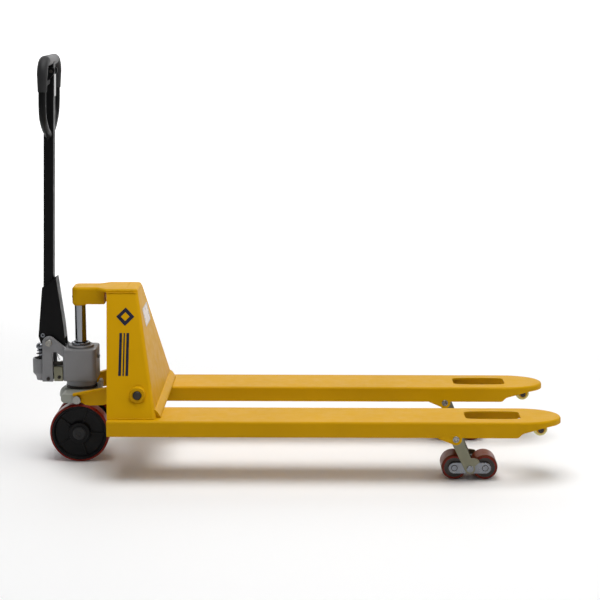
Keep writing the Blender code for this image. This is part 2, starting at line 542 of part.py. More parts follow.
# ---- legs, push rods, bogies, rollers ----
for s, k in SIDES:
    yc = k * FORK_Y
    leg = rod("leg_" + s, 15.0, "Y", yc - 71.0, yc + 71.0, LEG[0], LEG[1], 28)
    for d in (-1, 1):
        y0, y1 = sorted((yc + d * 42.5, yc + d * 50.0))
        side = plate("tmp_side", hull2(LEG, 17.6, LINK, 15.5, 13), "Y", y0, y1)
        join(side, "UNION", plate("tmp_hook", [(LINK[0] - 3, 50.0), (LINK[0] + 1.0, 68.0), (LINK[0] + 22.5, 66.0), (LINK[0] + 27.0, 57.0), (LINK[0] + 11.0, 42.0)], "Y", y0 + 0.5, y1 - 0.5))
        join(leg, "UNION", side)
        y0, y1 = sorted((yc + d * 7.0, yc + d * 12.0))
        join(leg, "UNION", plate("tmp_lug", hull2(LEG, 11.7, LUG_W, 7.5, 9), "Y", y0, y1))
    join(leg, "UNION", rod("tmp_pin", 4.5, "Y", yc - 11.0, yc + 11.0, LUG_W[0], LUG_W[1], 16))
    join(leg, "DIFFERENCE", rod("tmp_bore", 9.9, "Y", yc - 90, yc + 90, LEG[0], LEG[1], 28))
    for d in (-1, 1):
        y0, y1 = sorted((yc + d * 41.0, yc + d * 60.0))
        join(leg, "DIFFERENCE", rod("tmp_linkhole", 10.4, "Y", y0, y1, LINK[0], LINK[1], 24))
    put(leg, ZINC, "leg_" + s)

    rx0 = SHAFT[0] + LUG1 * math.sin(CRANK_A)
    rz0 = SHAFT[1] - LUG1 * math.cos(CRANK_A) - 5.05
    # flat bar: slotted eye on the crank pin, round eye on the leg's pin
    rear_eye = rounded(rx0 - 10.5, rx0 + 10.5, rz0 - 15.5, rz0 + 15.5, 8.0, 3)
    bar = plate("push_rod_" + s, hull2((rx0, rz0), 5.4, (LUG_W[0] - 1.0, LUG_W[1]), 5.4, 8), "Y", yc - 6.0, yc + 6.0)
    join(bar, "UNION", plate("tmp_eye", rear_eye, "Y", yc - 5.5, yc + 5.5), rod("tmp_eye2", 7.3, "Y", yc - 5.5, yc + 5.5, LUG_W[0], LUG_W[1], 28))
    join(bar, "DIFFERENCE", plate("tmp_slot", rounded(rx0 - 6.2, rx0 + 6.2, rz0 - 11.0, rz0 + 11.0, 5.0, 3), "Y", yc - 20, yc + 20))
    join(bar, "DIFFERENCE", rod("tmp_hole", 4.9, "Y", yc - 20, yc + 20, LUG_W[0], LUG_W[1], 16))
    put(bar, DARK, "push_rod_" + s)

    bogie = rod("bogie_" + s, 6.5, "Y", yc - 40.0, yc + 40.0, LINK[0], LINK[1], 24)
    a, b = (LINK[0] - ROLLER_SPREAD, LINK[1]), (LINK[0] + ROLLER_SPREAD, LINK[1])
    for d in (-1, 1):
        y0, y1 = sorted((yc + d * 36.5, yc + d * 41.8))
        join(bogie, "UNION", plate("tmp_plate", hull2(a, 16.5, b, 16.5, 10), "Y", y0, y1))
        y0, y1 = sorted((yc + d * 38.0, yc + d * 52.5))
        join(bogie, "UNION", rod("tmp_stub", 10.0, "Y", y0, y1, LINK[0], LINK[1], 24))
    for c in (a, b):
        join(bogie, "UNION", rod("tmp_axle", 8.0, "Y", yc - 42.2, yc + 42.2, c[0], c[1], 20))
    put(bogie, STEEL, "bogie_" + s)
    for w, c in (("rear", a), ("front", b)):
        nm = f"load_roller_{s}_{w}"
        put(turned(nm + "_core", [(28.5, 34.0), (28.5, -34.0), (8.4, -34.0), (8.4, 34.0)], "Y", (c[0], yc, c[1]), 28), STEEL, nm)
        put(turned(nm + "_tread", [(ROLLER_R, 31.0), (ROLLER_R, -31.0), (33.5, -35.0), (29.3, -35.0), (29.3, 35.0), (33.5, 35.0)], "Y", (c[0], yc, c[1]), 42), TYRE, nm)

    put(turned("entry_roller_" + s, [(21.0, 42.0), (21.0, -42.0), (19.0, -44.0), (5.3, -44.0), (5.3, 44.0), (19.0, 44.0)], "Y", (ENTRY[0], yc, ENTRY[1]), 28), NYLON, "entry_roller_" + s)
    put(turned("entry_axle_" + s, [(0, 60.0), (8.5, 60.0), (8.5, 55.3), (5.0, 55.3), (5.0, -55.3), (8.5, -55.3), (8.5, -60.0), (0, -60.0)], "Y", (ENTRY[0], yc, ENTRY[1]), 20), STEEL, "root")
    for d in (-1, 1):
        y0, y1 = sorted((yc + d * 48.0, yc + d * 55.0))
        f = bpy.data.objects["fork_" + s]
        cheek = plate("tmp_cheek", [(708.0, 182.0), (712.0, 163.0), (718.0, 148.0), (727.0, 145.5), (737.0, 148.0), (743.0, 163.0), (746.0, 182.0)], "Y", y0, y1)
        join(f, "UNION", cheek)
        join(f, "DIFFERENCE", rod("tmp_h", 5.4, "Y", y0 - 2, y1 + 2, ENTRY[0], ENTRY[1], 16))

# ---- handle, in its own upright axes with the pivot as origin ----
TUBE_X = -6.0


def on_handle(o, mat, owner="handle"):
    shift = Vector(LEVER) * MM if owner == "control_lever" else Vector((0, 0, 0))
    o.data.transform(Matrix.Translation(-shift))
    return put(o, mat, owner, placed=True)


t = box("handle_tube", (TUBE_X - 15, TUBE_X + 15), (-18, 18), (28, 845), 3.0, 2)
join(t, "DIFFERENCE", box("tmp_hollow", (TUBE_X - 12, TUBE_X + 12), (-15, 15), (0, 836)))
g = plate("handle_gusset", [(-24, 166), (-34.5, 15.4), (-28, -4), (0, -14), (47.7, -13.5), (41.3, 49.7), (18, 198.6)], "Y", -26, 26)
join(g, "DIFFERENCE", plate("tmp_in", [(-60, 230), (-60, -40), (44.0, -40), (37.3, 49.7), (13.2, 230)], "Y", -22, 22))
join(g, "DIFFERENCE", rod("tmp_hole", 11.0, "Y", -40, 40, 0, 0, 28))
join(g, "DIFFERENCE", box("tmp_open", (-60, 60), (-21.99, 21.99), (-40, 12)))
join(g, "UNION", rod("tmp_pin", 6.5, "Y", 22.5, 29.0, -20.5, 20, 16), rod("tmp_pin", 6.5, "Y", -29.0, -22.5, -20.5, 20, 16))
join(g, "DIFFERENCE", rod("tmp_hole2", 4.4, "Y", -40, 40, -19.0, 1.0, 16))
on_handle(g, BLACK)
join(t, "DIFFERENCE", rod("tmp_pin", 4.3, "Y", -40, 40, LEVER[0], LEVER[2], 16))
on_handle(t, BLACK)
on_handle(rod("cam_pin", 4.1, "Y", -27.0, 27.0, -19.0, 1.0, 16), STEEL)
on_handle(turned("cam_roller", [(7.4, 9.0), (7.4, -9.0), (4.5, -9.0), (4.5, 9.0)], "Y", (-19.0, 0, 1.0), 20), STEEL)


def loop_path(lo, r=42.0, n=6):
    """Handle loop, from the right foot on the tube, over the top, to the left foot; local y, z."""
    half = [(-20.0, 628.0), (-66.0, 650.0), (-98.0, 674.0), (-112.0, 696.0), (-118.0, 724.0), (-118.0, 760.0)]
    top = arc(-118 + r, 847 - r, r, 180, 90, n)
    pts = [p for p in half if p[1] >= lo] + top
    if lo > 760:
        pts = [(-118.0, lo)] + top
    return [(TUBE_X, y, z) for y, z in pts] + [(TUBE_X, -y, z) for y, z in reversed(pts)]


loop = tube("handle_loop", loop_path(0), 11.0, 2)
join(loop, "DIFFERENCE", box("tmp_tube", (TUBE_X - 15.3, TUBE_X + 15.3), (-18.3, 18.3), (600, 845.3)))
parts_loop = loop
on_handle(loop, BLACK)
grip = tube("grip_cover", loop_path(756.0), 15.6, 3)
core = tube("tmp_core", loop_path(0), 11.35, 2)
join(grip, "DIFFERENCE", core)
join(grip, "DIFFERENCE", box("tmp_tube", (TUBE_X - 15.3, TUBE_X + 15.3), (-18.3, 18.3), (600, 845.3)))
on_handle(grip, GRIP)
on_handle(box("front_strip", (TUBE_X + 15.3, TUBE_X + 17.0), (-13, 13), (741, 806), 0.5, 1), STRIP)

# control lever: two cheeks beside the tube, a finger bar behind it, on one pin
lv = plate("control_lever", [(-30, 822), (6, 826), (13, 822), (10, 806), (-8, 786), (-22, 782), (-34, 796), (-36, 815)], "Y", -26.0, 26.0)
join(lv, "DIFFERENCE", box("tmp_gap", (-24.0, 60), (-18.6, 18.6), (700, 900)))
join(lv, "DIFFERENCE", rod("tmp_hole", 4.3, "Y", -40, 40, LEVER[0], LEVER[2], 16))
on_handle(lv, BLACK, "control_lever")
on_handle(turned("lever_pin", [(0, 28.5), (4.9, 28.5), (4.9, 26.4), (4.0, 26.4), (4.0, -26.4), (4.9, -26.4), (4.9, -28.5), (0, -28.5)], "Y", (LEVER[0], 0, LEVER[2]), 16), STEEL)

# the origin is under the middle of the whole object
BODY["root"][0].location.x = -(FORK_TIP - 787.0) / 2 * MM
bpy.context.view_layer.update()
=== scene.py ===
import math

import bmesh
import bpy
from mathutils import Matrix, Vector


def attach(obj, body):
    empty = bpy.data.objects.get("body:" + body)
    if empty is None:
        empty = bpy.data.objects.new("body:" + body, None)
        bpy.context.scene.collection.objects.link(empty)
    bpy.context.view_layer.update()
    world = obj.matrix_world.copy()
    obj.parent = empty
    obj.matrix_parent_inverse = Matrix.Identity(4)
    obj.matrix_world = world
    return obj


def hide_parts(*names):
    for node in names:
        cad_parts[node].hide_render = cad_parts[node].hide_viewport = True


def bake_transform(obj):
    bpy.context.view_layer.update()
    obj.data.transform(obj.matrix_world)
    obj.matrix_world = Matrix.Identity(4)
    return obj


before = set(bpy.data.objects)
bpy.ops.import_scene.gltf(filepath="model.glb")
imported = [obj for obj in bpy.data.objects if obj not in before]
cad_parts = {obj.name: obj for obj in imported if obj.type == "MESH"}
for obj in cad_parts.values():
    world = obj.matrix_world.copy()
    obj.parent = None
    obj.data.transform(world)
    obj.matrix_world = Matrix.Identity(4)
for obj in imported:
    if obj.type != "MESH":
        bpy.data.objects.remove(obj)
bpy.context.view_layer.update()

MM = 0.001
DX = -2.25
FORK_TOP, FORK_BOTTOM, FORK_HALF, FORK_Y, FORK_REAR = 185.0, 139.0, 80.0, 195.0, -527.5
NOSE_START, FORK_TIP, SHEET = 668.0, 791.5, 5.0
CHASSIS_TOP, TOP_HALF, LOW_HALF = 526.0, 62.0, 250.0
RAM_X, RAM_R = -638.5, 17.0
SHAFT, SHAFT_R = (-442.5, 250.0), 12.5
YOKE_Z = 203.0
ARM_Y = (95.0, 140.0)
LEG, LINK = (480.5, 134.7), (525.5, 37.0)
ROLLER_R, ROLLER_SPREAD = 37.0, 45.0
ENTRY = (727.0, 157.0)
LUG1, LUG2 = 81.2, 37.5
WHEEL_R = 90.0
PIVOT = (-729.5, 361.0)
LEAN = math.radians(1.6)
PISTON_X = -760.0
CRANK_A = math.radians(15.75)
LEG_B = math.radians(35.92)
LUG_W = (LEG[0] + LUG2 * math.sin(LEG_B), LEG[1] + LUG2 * math.cos(LEG_B))
SIDES = (("right", -1), ("left", 1))
LEVER = (3.0, 0.0, 815.0)
TUBE_X = -6.0

scene = bpy.context.scene
scene.view_settings.view_transform = "Standard"
scene.view_settings.look = "None"
scene.view_settings.exposure = 0.0

# ---------------------------------------------------------------- camera
cam_data = bpy.data.cameras.new("camera")
cam = bpy.data.objects.new("camera", cam_data)
scene.collection.objects.link(cam)
cam_data.sensor_width = 36.0
cam_data.lens = 90.355
cam_data.shift_x = 0.0
cam_data.shift_y = -0.1
cam_data.clip_end = 50.0
cam.location = (0.0796, -4.4628, 1.4073)
cam.rotation_euler = (math.radians(90.0 - 9.371), 0.0, math.radians(0.694))
scene.camera = cam

# ---------------------------------------------------------------- materials


def srgb(r, g, b):
    out = []
    for c in (r, g, b):
        c = c / 255.0
        out.append(c / 12.92 if c <= 0.04045 else ((c + 0.055) / 1.055) ** 2.4)
    return tuple(out)


class Mat:
    """A Principled material with helpers for procedural detail in object space."""

    def __init__(self, name, colour, rough=0.5, metal=0.0, coat=0.0, coat_rough=0.1, spec=0.5):
        self.m = bpy.data.materials.new(name)
        self.m.use_nodes = True
        self.t = self.m.node_tree
        self.p = self.t.nodes["Principled BSDF"]
        self.p.inputs["Base Color"].default_value = (*colour, 1)
        self.p.inputs["Roughness"].default_value = rough
        self.p.inputs["Metallic"].default_value = metal
        self.p.inputs["Coat Weight"].default_value = coat
        self.p.inputs["Coat Roughness"].default_value = coat_rough
        self.p.inputs["Specular IOR Level"].default_value = spec
        self.colour = colour
        self.rough = rough
        self.co = self.t.nodes.new("ShaderNodeTexCoord")
        self.last_bump = None

    def n(self, kind, **kw):
        node = self.t.nodes.new(kind)
        for k, v in kw.items():
            if k in node.inputs:
                node.inputs[k].default_value = v
            else:
                setattr(node, k, v)
        return node

    def link(self, a, b):
        self.t.links.new(a, b)

    def mapped(self, scale=(1, 1, 1)):
        mp = self.n("ShaderNodeMapping")
        mp.inputs["Scale"].default_value = scale
        self.link(self.co.outputs["Object"], mp.inputs["Vector"])
        return mp.outputs["Vector"]

    def noise(self, scale, detail=3.0, rough=0.55, stretch=(1, 1, 1)):
        t = self.n("ShaderNodeTexNoise")
        t.inputs["Scale"].default_value = scale
        t.inputs["Detail"].default_value = detail
        t.inputs["Roughness"].default_value = rough
        self.link(self.mapped(stretch), t.inputs["Vector"])
        return t.outputs["Fac"]

    def ramp(self, fac, stops):
        r = self.n("ShaderNodeValToRGB")
        el = r.color_ramp.elements
        while len(el) < len(stops):
            el.new(0.5)
        for e, (pos, c) in zip(el, stops):
            e.position = pos
            e.color = c if len(c) == 4 else (*c, 1)
        self.link(fac, r.inputs["Fac"])
        return r.outputs["Color"]

    def vary_colour(self, scale=6.0, amount=0.08, detail=4.0, stretch=(1, 1, 1)):
        c = self.colour
        lo = tuple(x * (1 - amount) for x in c)
        hi = tuple(min(1, x * (1 + amount)) for x in c)
        out = self.ramp(self.noise(scale, detail, stretch=stretch), [(0.3, lo), (0.7, hi)])
        self.link(out, self.p.inputs["Base Color"])
        self.base = out
        return self

    def mix_over(self, fac, colour, rough=None):
        """Another colour laid over the base where fac is high, as dust, wear or a mould line."""
        mx = self.n("ShaderNodeMix", data_type="RGBA")
        self.link(fac, mx.inputs["Factor"])
        src = self.p.inputs["Base Color"]
        if src.is_linked:
            self.link(src.links[0].from_socket, mx.inputs["A"])
        else:
            mx.inputs["A"].default_value = (*self.colour, 1)
        mx.inputs["B"].default_value = (*colour, 1)
        self.link(mx.outputs["Result"], self.p.inputs["Base Color"])
        return self

    def vary_rough(self, scale=20.0, lo=None, hi=None, detail=4.0, stretch=(1, 1, 1)):
        lo = self.rough * 0.8 if lo is None else lo
        hi = self.rough * 1.2 if hi is None else hi
        mr = self.n("ShaderNodeMapRange")
        mr.inputs["From Min"].default_value = 0.3
        mr.inputs["From Max"].default_value = 0.7
        mr.inputs["To Min"].default_value = lo
        mr.inputs["To Max"].default_value = hi
        self.link(self.noise(scale, detail, stretch=stretch), mr.inputs["Value"])
        self.link(mr.outputs["Result"], self.p.inputs["Roughness"])
        return self

    def bump(self, height, strength=0.2, dist=0.0004):
        b = self.n("ShaderNodeBump")
        b.inputs["Strength"].default_value = strength
        b.inputs["Distance"].default_value = dist
        self.link(height, b.inputs["Height"])
        if self.last_bump:
            self.link(self.last_bump, b.inputs["Normal"])
        self.last_bump = b.outputs["Normal"]
        self.link(self.last_bump, self.p.inputs["Normal"])
        return self

    def edge_wear(self, colour, lo=0.52, hi=0.56, scale=60.0):
        """Lighter scuffs on convex edges, broken up by noise."""
        g = self.n("ShaderNodeNewGeometry")
        mr = self.n("ShaderNodeMapRange")
        mr.inputs["From Min"].default_value = lo
        mr.inputs["From Max"].default_value = hi
        self.link(g.outputs["Pointiness"], mr.inputs["Value"])
        mu = self.n("ShaderNodeMath", operation="MULTIPLY")
        self.link(mr.outputs["Result"], mu.inputs[0])
        nz = self.n("ShaderNodeMapRange")
        nz.inputs["From Min"].default_value = 0.45
        nz.inputs["From Max"].default_value = 0.65
        self.link(self.noise(scale, 5.0), nz.inputs["Value"])
        self.link(nz.outputs["Result"], mu.inputs[1])
        return self.mix_over(mu.outputs["Value"], colour)


def make_materials():
    M = {}
    # powder-coated sheet: fine orange peel, slight shade drift
    y = Mat("yellow_powder_coat", srgb(204, 153, 0), 0.46, coat=0.03, coat_rough=0.2, spec=0.06)
    y.vary_colour(5.0, 0.035).vary_rough(35.0, 0.4, 0.54).bump(y.noise(900.0, 2.0), 0.12, 0.0002).bump(y.noise(160.0, 2.0), 0.06, 0.0005)
    M["yellow"] = y.m
    g = Mat("grey_cast_paint", srgb(132, 132, 134), 0.46, metal=0.25, spec=0.5)
    g.vary_colour(9.0, 0.07).vary_rough(50.0, 0.38, 0.56).bump(g.noise(420.0, 5.0, 0.7), 0.28, 0.0006).bump(g.noise(60.0, 2.0), 0.12, 0.001)
    M["cast"] = g.m
    g = Mat("light_cast_paint", srgb(152, 154, 145), 0.5, metal=0.2)
    g.vary_colour(10.0, 0.08).vary_rough(50.0, 0.42, 0.6).bump(g.noise(360.0, 5.0, 0.7), 0.35, 0.0007)
    M["light_cast"] = g.m
    g = Mat("olive_zinc", srgb(122, 120, 102), 0.34, metal=0.9)
    g.vary_colour(14.0, 0.14).vary_rough(40.0, 0.26, 0.42).bump(g.noise(300.0, 3.0, stretch=(1, 1, 0.15)), 0.12, 0.0003)
    M["zinc"] = g.m
    g = Mat("bright_zinc_steel", srgb(128, 131, 137), 0.3, metal=0.95)
    g.vary_colour(20.0, 0.08).vary_rough(60.0, 0.22, 0.38).bump(g.noise(500.0, 3.0, stretch=(0.2, 1, 1)), 0.1, 0.0002)
    M["steel"] = g.m
    g = Mat("turned_steel", srgb(150, 148, 142), 0.28, metal=1.0)
    w = g.n("ShaderNodeTexWave", wave_type="RINGS", rings_direction="Y")
    w.inputs["Scale"].default_value = 260.0
    w.inputs["Distortion"].default_value = 0.4
    g.link(g.mapped(), w.inputs["Vector"])
    g.vary_colour(25.0, 0.1).vary_rough(70.0, 0.22, 0.38).bump(w.outputs["Fac"], 0.08, 0.0002)
    M["turned"] = g.m
    g = Mat("hard_chrome", srgb(150, 152, 156), 0.15, metal=1.0)
    g.vary_rough(30.0, 0.12, 0.2, stretch=(1, 1, 0.2)).bump(g.noise(700.0, 2.0, stretch=(1, 1, 0.1)), 0.02, 0.0001)
    M["chrome"] = g.m
    g = Mat("oiled_steel", srgb(58, 54, 50), 0.42, metal=0.8)
    g.vary_colour(40.0, 0.3).vary_rough(60.0, 0.3, 0.55).bump(g.noise(350.0, 4.0), 0.2, 0.0004)
    M["dark"] = g.m
    g = Mat("black_powder_coat", srgb(17, 17, 18), 0.42, spec=0.12)
    g.vary_colour(8.0, 0.15).vary_rough(40.0, 0.34, 0.5).bump(g.noise(900.0, 2.0), 0.14, 0.0002)
    M["black"] = g.m
    g = Mat("grip_rubber", srgb(44, 44, 45), 0.6, spec=0.25)
    v = g.n("ShaderNodeTexVoronoi")
    v.inputs["Scale"].default_value = 520.0
    g.link(g.mapped(), v.inputs["Vector"])
    g.vary_colour(12.0, 0.12).vary_rough(30.0, 0.5, 0.72).bump(v.outputs["Distance"], 0.22, 0.0004)
    M["grip"] = g.m
    # painted highlight: the grip's top bar is the same moulded rubber as its legs, given a lighter grey that stands in
    # for the light falling on it
    g = Mat("grip_crown_painted_highlight", srgb(96, 96, 97), 0.55, spec=0.4)
    g.vary_colour(12.0, 0.1).vary_rough(30.0, 0.46, 0.66).bump(g.noise(520.0, 3.0), 0.16, 0.0004)
    M["crown"] = g.m
    g = Mat("black_polyamide", srgb(19, 19, 20), 0.48, spec=0.15)
    g.vary_colour(10.0, 0.15).vary_rough(30.0, 0.4, 0.58).bump(g.noise(650.0, 3.0), 0.16, 0.0003)
    M["core"] = g.m
    g = Mat("cast_polyurethane", srgb(122, 22, 6), 0.32, spec=0.25)
    g.p.inputs["Subsurface Weight"].default_value = 0.08
    g.p.inputs["Subsurface Radius"].default_value = (0.004, 0.001, 0.0005)
    g.vary_colour(18.0, 0.12).vary_rough(45.0, 0.26, 0.42).bump(g.noise(240.0, 3.0), 0.08, 0.0004)
    g.mix_over(dust(g, 30.0, 0.66, 0.95), srgb(132, 84, 62))
    M["tyre"] = g.m
    g = Mat("rolled_polyurethane", srgb(104, 40, 12), 0.4, spec=0.25)
    g.p.inputs["Subsurface Weight"].default_value = 0.08
    g.p.inputs["Subsurface Radius"].default_value = (0.004, 0.001, 0.0005)
    g.vary_colour(18.0, 0.12).vary_rough(45.0, 0.3, 0.5).bump(g.noise(200.0, 3.0, stretch=(1, 4, 1)), 0.1, 0.0004)
    M["tread"] = g.m
    g = Mat("roller_core_steel", srgb(70, 65, 62), 0.4, metal=0.7)
    g.vary_colour(30.0, 0.15).vary_rough(60.0, 0.32, 0.5).bump(g.noise(300.0, 4.0), 0.15, 0.0004)
    M["rcore"] = g.m
    g = Mat("pale_nylon", srgb(214, 204, 128), 0.42, spec=0.5)
    g.p.inputs["Subsurface Weight"].default_value = 0.15
    g.p.inputs["Subsurface Radius"].default_value = (0.004, 0.003, 0.001)
    g.vary_colour(20.0, 0.06).vary_rough(40.0, 0.36, 0.5).bump(g.noise(260.0, 3.0), 0.08, 0.0003)
    M["nylon"] = g.m
    g = Mat("pale_strip", srgb(178, 179, 180), 0.35, spec=0.5)
    g.vary_colour(30.0, 0.05).vary_rough(30.0, 0.3, 0.42).bump(g.noise(500.0, 2.0), 0.06, 0.0002)
    M["strip"] = g.m
    g = Mat("plain_label", srgb(196, 182, 172), 0.3, spec=0.5)
    g.vary_colour(14.0, 0.05).vary_rough(30.0, 0.24, 0.38).bump(g.noise(220.0, 2.0), 0.05, 0.0002)
    M["label"] = g.m
    g = Mat("label_border", srgb(150, 145, 138), 0.32, spec=0.5)
    g.vary_colour(14.0, 0.06).vary_rough(30.0, 0.26, 0.4).bump(g.noise(220.0, 2.0), 0.05, 0.0002)
    M["label_dark"] = g.m
    g = Mat("navy_vinyl", srgb(34, 36, 52), 0.35, spec=0.2)
    g.vary_colour(18.0, 0.08).vary_rough(30.0, 0.24, 0.38).bump(g.noise(300.0, 2.0), 0.05, 0.0002)
    M["navy"] = g.m
    return M


def dust(mat, scale, lo, hi):
    mr = mat.n("ShaderNodeMapRange")
    mr.inputs["From Min"].default_value = lo
    mr.inputs["From Max"].default_value = hi
    mr.inputs["To Max"].default_value = 0.5
    mat.link(mat.noise(scale, 6.0, 0.6), mr.inputs["Value"])
    return mr.outputs["Result"]


M = make_materials()

# ---------------------------------------------------------------- mesh helpers (mm in the design's own axes)
VIS = bpy.data.collections.new("visual")
scene.collection.children.link(VIS)
SHIFT = Matrix.Translation(Vector((DX, 0, 0)) * MM)
HANDLE = Matrix.Translation(Vector((PIVOT[0], 0, PIVOT[1])) * MM) @ Matrix.Rotation(LEAN, 4, "Y")
TURN = {"Z": Matrix.Identity(4), "Y": Matrix.Rotation(math.radians(-90), 4, "X"), "X": Matrix.Rotation(math.radians(90), 4, "Y")}


def from_bm(name, bm):
    me = bpy.data.meshes.new(name)
    bmesh.ops.recalc_face_normals(bm, faces=bm.faces)
    bm.to_mesh(me)
    bm.free()
    o = bpy.data.objects.new(name, me)
    VIS.objects.link(o)
    return o


def box(name, x, y, z, bevel=0.0, seg=3):
    bm = bmesh.new()
    bmesh.ops.create_cube(bm, size=1.0)
    bmesh.ops.scale(bm, vec=Vector((x[1] - x[0], y[1] - y[0], z[1] - z[0])) * MM, verts=bm.verts)
    bmesh.ops.translate(bm, vec=Vector((x[0] + x[1], y[0] + y[1], z[0] + z[1])) * (MM / 2), verts=bm.verts)
    if bevel:
        bmesh.ops.bevel(bm, geom=list(bm.edges), offset=bevel * MM, segments=seg, affect="EDGES", profile=0.5)
    return from_bm(name, bm)


def rod(name, r, axis, a, b, c1, c2, seg=64, bevel=0.0, r2=None):
    bm = bmesh.new()
    bmesh.ops.create_cone(bm, cap_ends=True, segments=seg, radius1=r * MM, radius2=(r if r2 is None else r2) * MM, depth=(b - a) * MM)
    if bevel:
        rim = [e for e in bm.edges if abs(e.verts[0].co.z - e.verts[1].co.z) < 1e-7]
        bmesh.ops.bevel(bm, geom=rim, offset=bevel * MM, segments=3, affect="EDGES", profile=0.5)
    bm.transform(TURN[axis])
    mid = (a + b) / 2
    at = {"X": (mid, c1, c2), "Y": (c1, mid, c2), "Z": (c1, c2, mid)}[axis]
    bmesh.ops.translate(bm, vec=Vector(at) * MM, verts=bm.verts)
    return from_bm(name, bm)


def filleted(profile, r):
    """Rounds every corner of a closed or axis profile by r, with three points each."""
    if not r:
        return profile
    out = []
    n = len(profile)
    ring = all(p[0] > 0.01 for p in profile)
    for i, p in enumerate(profile):
        if not ring and i in (0, n - 1):
            out.append(p)
            continue
        a, b, c = Vector(profile[i - 1]), Vector(p), Vector(profile[(i + 1) % n])
        u, w = a - b, c - b
        k = min(r, u.length * 0.45, w.length * 0.45)
        if k < 0.05 or (ring is False and b.x < 0.01):
            out.append(p)
            continue
        s, e = b + u.normalized() * k, b + w.normalized() * k
        for t in (0.0, 0.33, 0.67, 1.0):
            q = s * (1 - t) ** 2 + b * (2 * t * (1 - t)) + e * t ** 2
            out.append((q.x, q.y))
    return out


def turned(name, profile, axis, at, seg=96, fillet=0.8):
    area = sum(p[0] * q[1] - q[0] * p[1] for p, q in zip(profile, profile[1:] + profile[:1]))
    pts = list(profile) if area < 0 else list(reversed(profile))
    pts = filleted(pts, fillet)
    ring = all(p[0] > 0.01 for p in pts)
    bm = bmesh.new()
    vs = [bm.verts.new((r * MM, 0, z * MM)) for r, z in pts]
    n = len(vs)
    for i in range(n if ring else n - 1):
        bm.edges.new((vs[i], vs[(i + 1) % n]))
    bmesh.ops.spin(bm, geom=list(bm.verts) + list(bm.edges), angle=2 * math.pi, steps=seg, axis=(0, 0, 1), cent=(0, 0, 0))
    bmesh.ops.remove_doubles(bm, verts=bm.verts, dist=1e-6)
    bmesh.ops.recalc_face_normals(bm, faces=bm.faces)
    bm.transform(Matrix.Translation(Vector(at) * MM) @ TURN[axis])
    return from_bm(name, bm)


def plate(name, outline, axis, a, b, bevel=0.0, seg=3, holes=()):
    """Outline in mm extruded from a to b along axis, with both rims rounded by bevel."""
    bm = bmesh.new()
    f = bm.faces.new([bm.verts.new((u * MM, v * MM, 0)) for u, v in outline])
    top = bmesh.ops.extrude_face_region(bm, geom=[f])
    bmesh.ops.translate(bm, vec=(0, 0, (b - a) * MM), verts=[v for v in top["geom"] if isinstance(v, bmesh.types.BMVert)])
    if bevel:
        rim = [e for e in bm.edges if abs(e.verts[0].co.z - e.verts[1].co.z) < 1e-7]
        bmesh.ops.bevel(bm, geom=rim, offset=bevel * MM, segments=seg, affect="EDGES", profile=0.5, clamp_overlap=True)
    turn = {"Z": Matrix.Identity(4), "Y": Matrix(((1, 0, 0, 0), (0, 0, 1, 0), (0, 1, 0, 0), (0, 0, 0, 1))), "X": Matrix(((0, 0, 1, 0), (1, 0, 0, 0), (0, 1, 0, 0), (0, 0, 0, 1)))}[axis]
    move = {"Z": (0, 0, a * MM), "Y": (0, a * MM, 0), "X": (a * MM, 0, 0)}[axis]
    bm.transform(Matrix.Translation(move) @ turn)
    o = from_bm(name, bm)
    for cx, cy, r in holes:
        if axis == "Y":
            join(o, "DIFFERENCE", rod("t", r, "Y", a - 3, b + 3, cx, cy))
        elif axis == "Z":
            join(o, "DIFFERENCE", rod("t", r, "Z", a - 3, b + 3, cx, cy))
    return o


def tube(name, pts, r, seg=24, closed=False):
    """Swept round tube along points, radius r or a list of radii, with flat caps on open ends."""
    P = [Vector(p) * MM for p in pts]
    n = len(P)
    rs = r if isinstance(r, (list, tuple)) else [r] * n
    bm = bmesh.new()
    rings = []
    prev = None
    for i, p in enumerate(P):
        if closed:
            t = (P[(i + 1) % n] - P[i - 1]).normalized()
        else:
            t = (P[min(i + 1, n - 1)] - P[max(i - 1, 0)]).normalized()
        if prev is None:
            ref = Vector((1, 0, 0)) if abs(t.x) < 0.9 else Vector((0, 1, 0))
            nrm = (ref - t * ref.dot(t)).normalized()
        else:
            nrm = (prev - t * prev.dot(t)).normalized()
        prev = nrm
        bn = t.cross(nrm)
        rings.append([bm.verts.new(p + (nrm * math.cos(2 * math.pi * k / seg) + bn * math.sin(2 * math.pi * k / seg)) * rs[i] * MM) for k in range(seg)])
    for i in range(n if closed else n - 1):
        A, B = rings[i], rings[(i + 1) % n]
        for k in range(seg):
            bm.faces.new((A[k], A[(k + 1) % seg], B[(k + 1) % seg], B[k]))
    if not closed:
        bm.faces.new(list(reversed(rings[0])))
        bm.faces.new(rings[-1])
    return from_bm(name, bm)


def baked(obj):
    dg = bpy.context.evaluated_depsgraph_get()
    dg.update()
    return bpy.data.meshes.new_from_object(obj.evaluated_get(dg))


def join(base, op, *others):
    for other in others:
        m = base.modifiers.new(op, "BOOLEAN")
        m.operation = op
        m.solver = "EXACT"
        m.object = other
        base.data = baked(base)
        base.modifiers.clear()
        bpy.data.objects.remove(other, do_unlink=True)
    return base


def bevelled(o, width, seg=3, angle=32.0):
    """Rounds what edges are left after the booleans."""
    bm = bmesh.new()
    bm.from_mesh(o.data)
    bmesh.ops.remove_doubles(bm, verts=bm.verts, dist=1e-6)
    bmesh.ops.dissolve_limit(bm, angle_limit=math.radians(1.0), verts=bm.verts, edges=bm.edges)
    bm.to_mesh(o.data)
    bm.free()
    m = o.modifiers.new("bevel", "BEVEL")
    m.width = width * MM
    m.segments = seg
    m.limit_method = "ANGLE"
    m.angle_limit = math.radians(angle)
    m.use_clamp_overlap = True
    m.loop_slide = True
    o.data = baked(o)
    o.modifiers.clear()
    return o


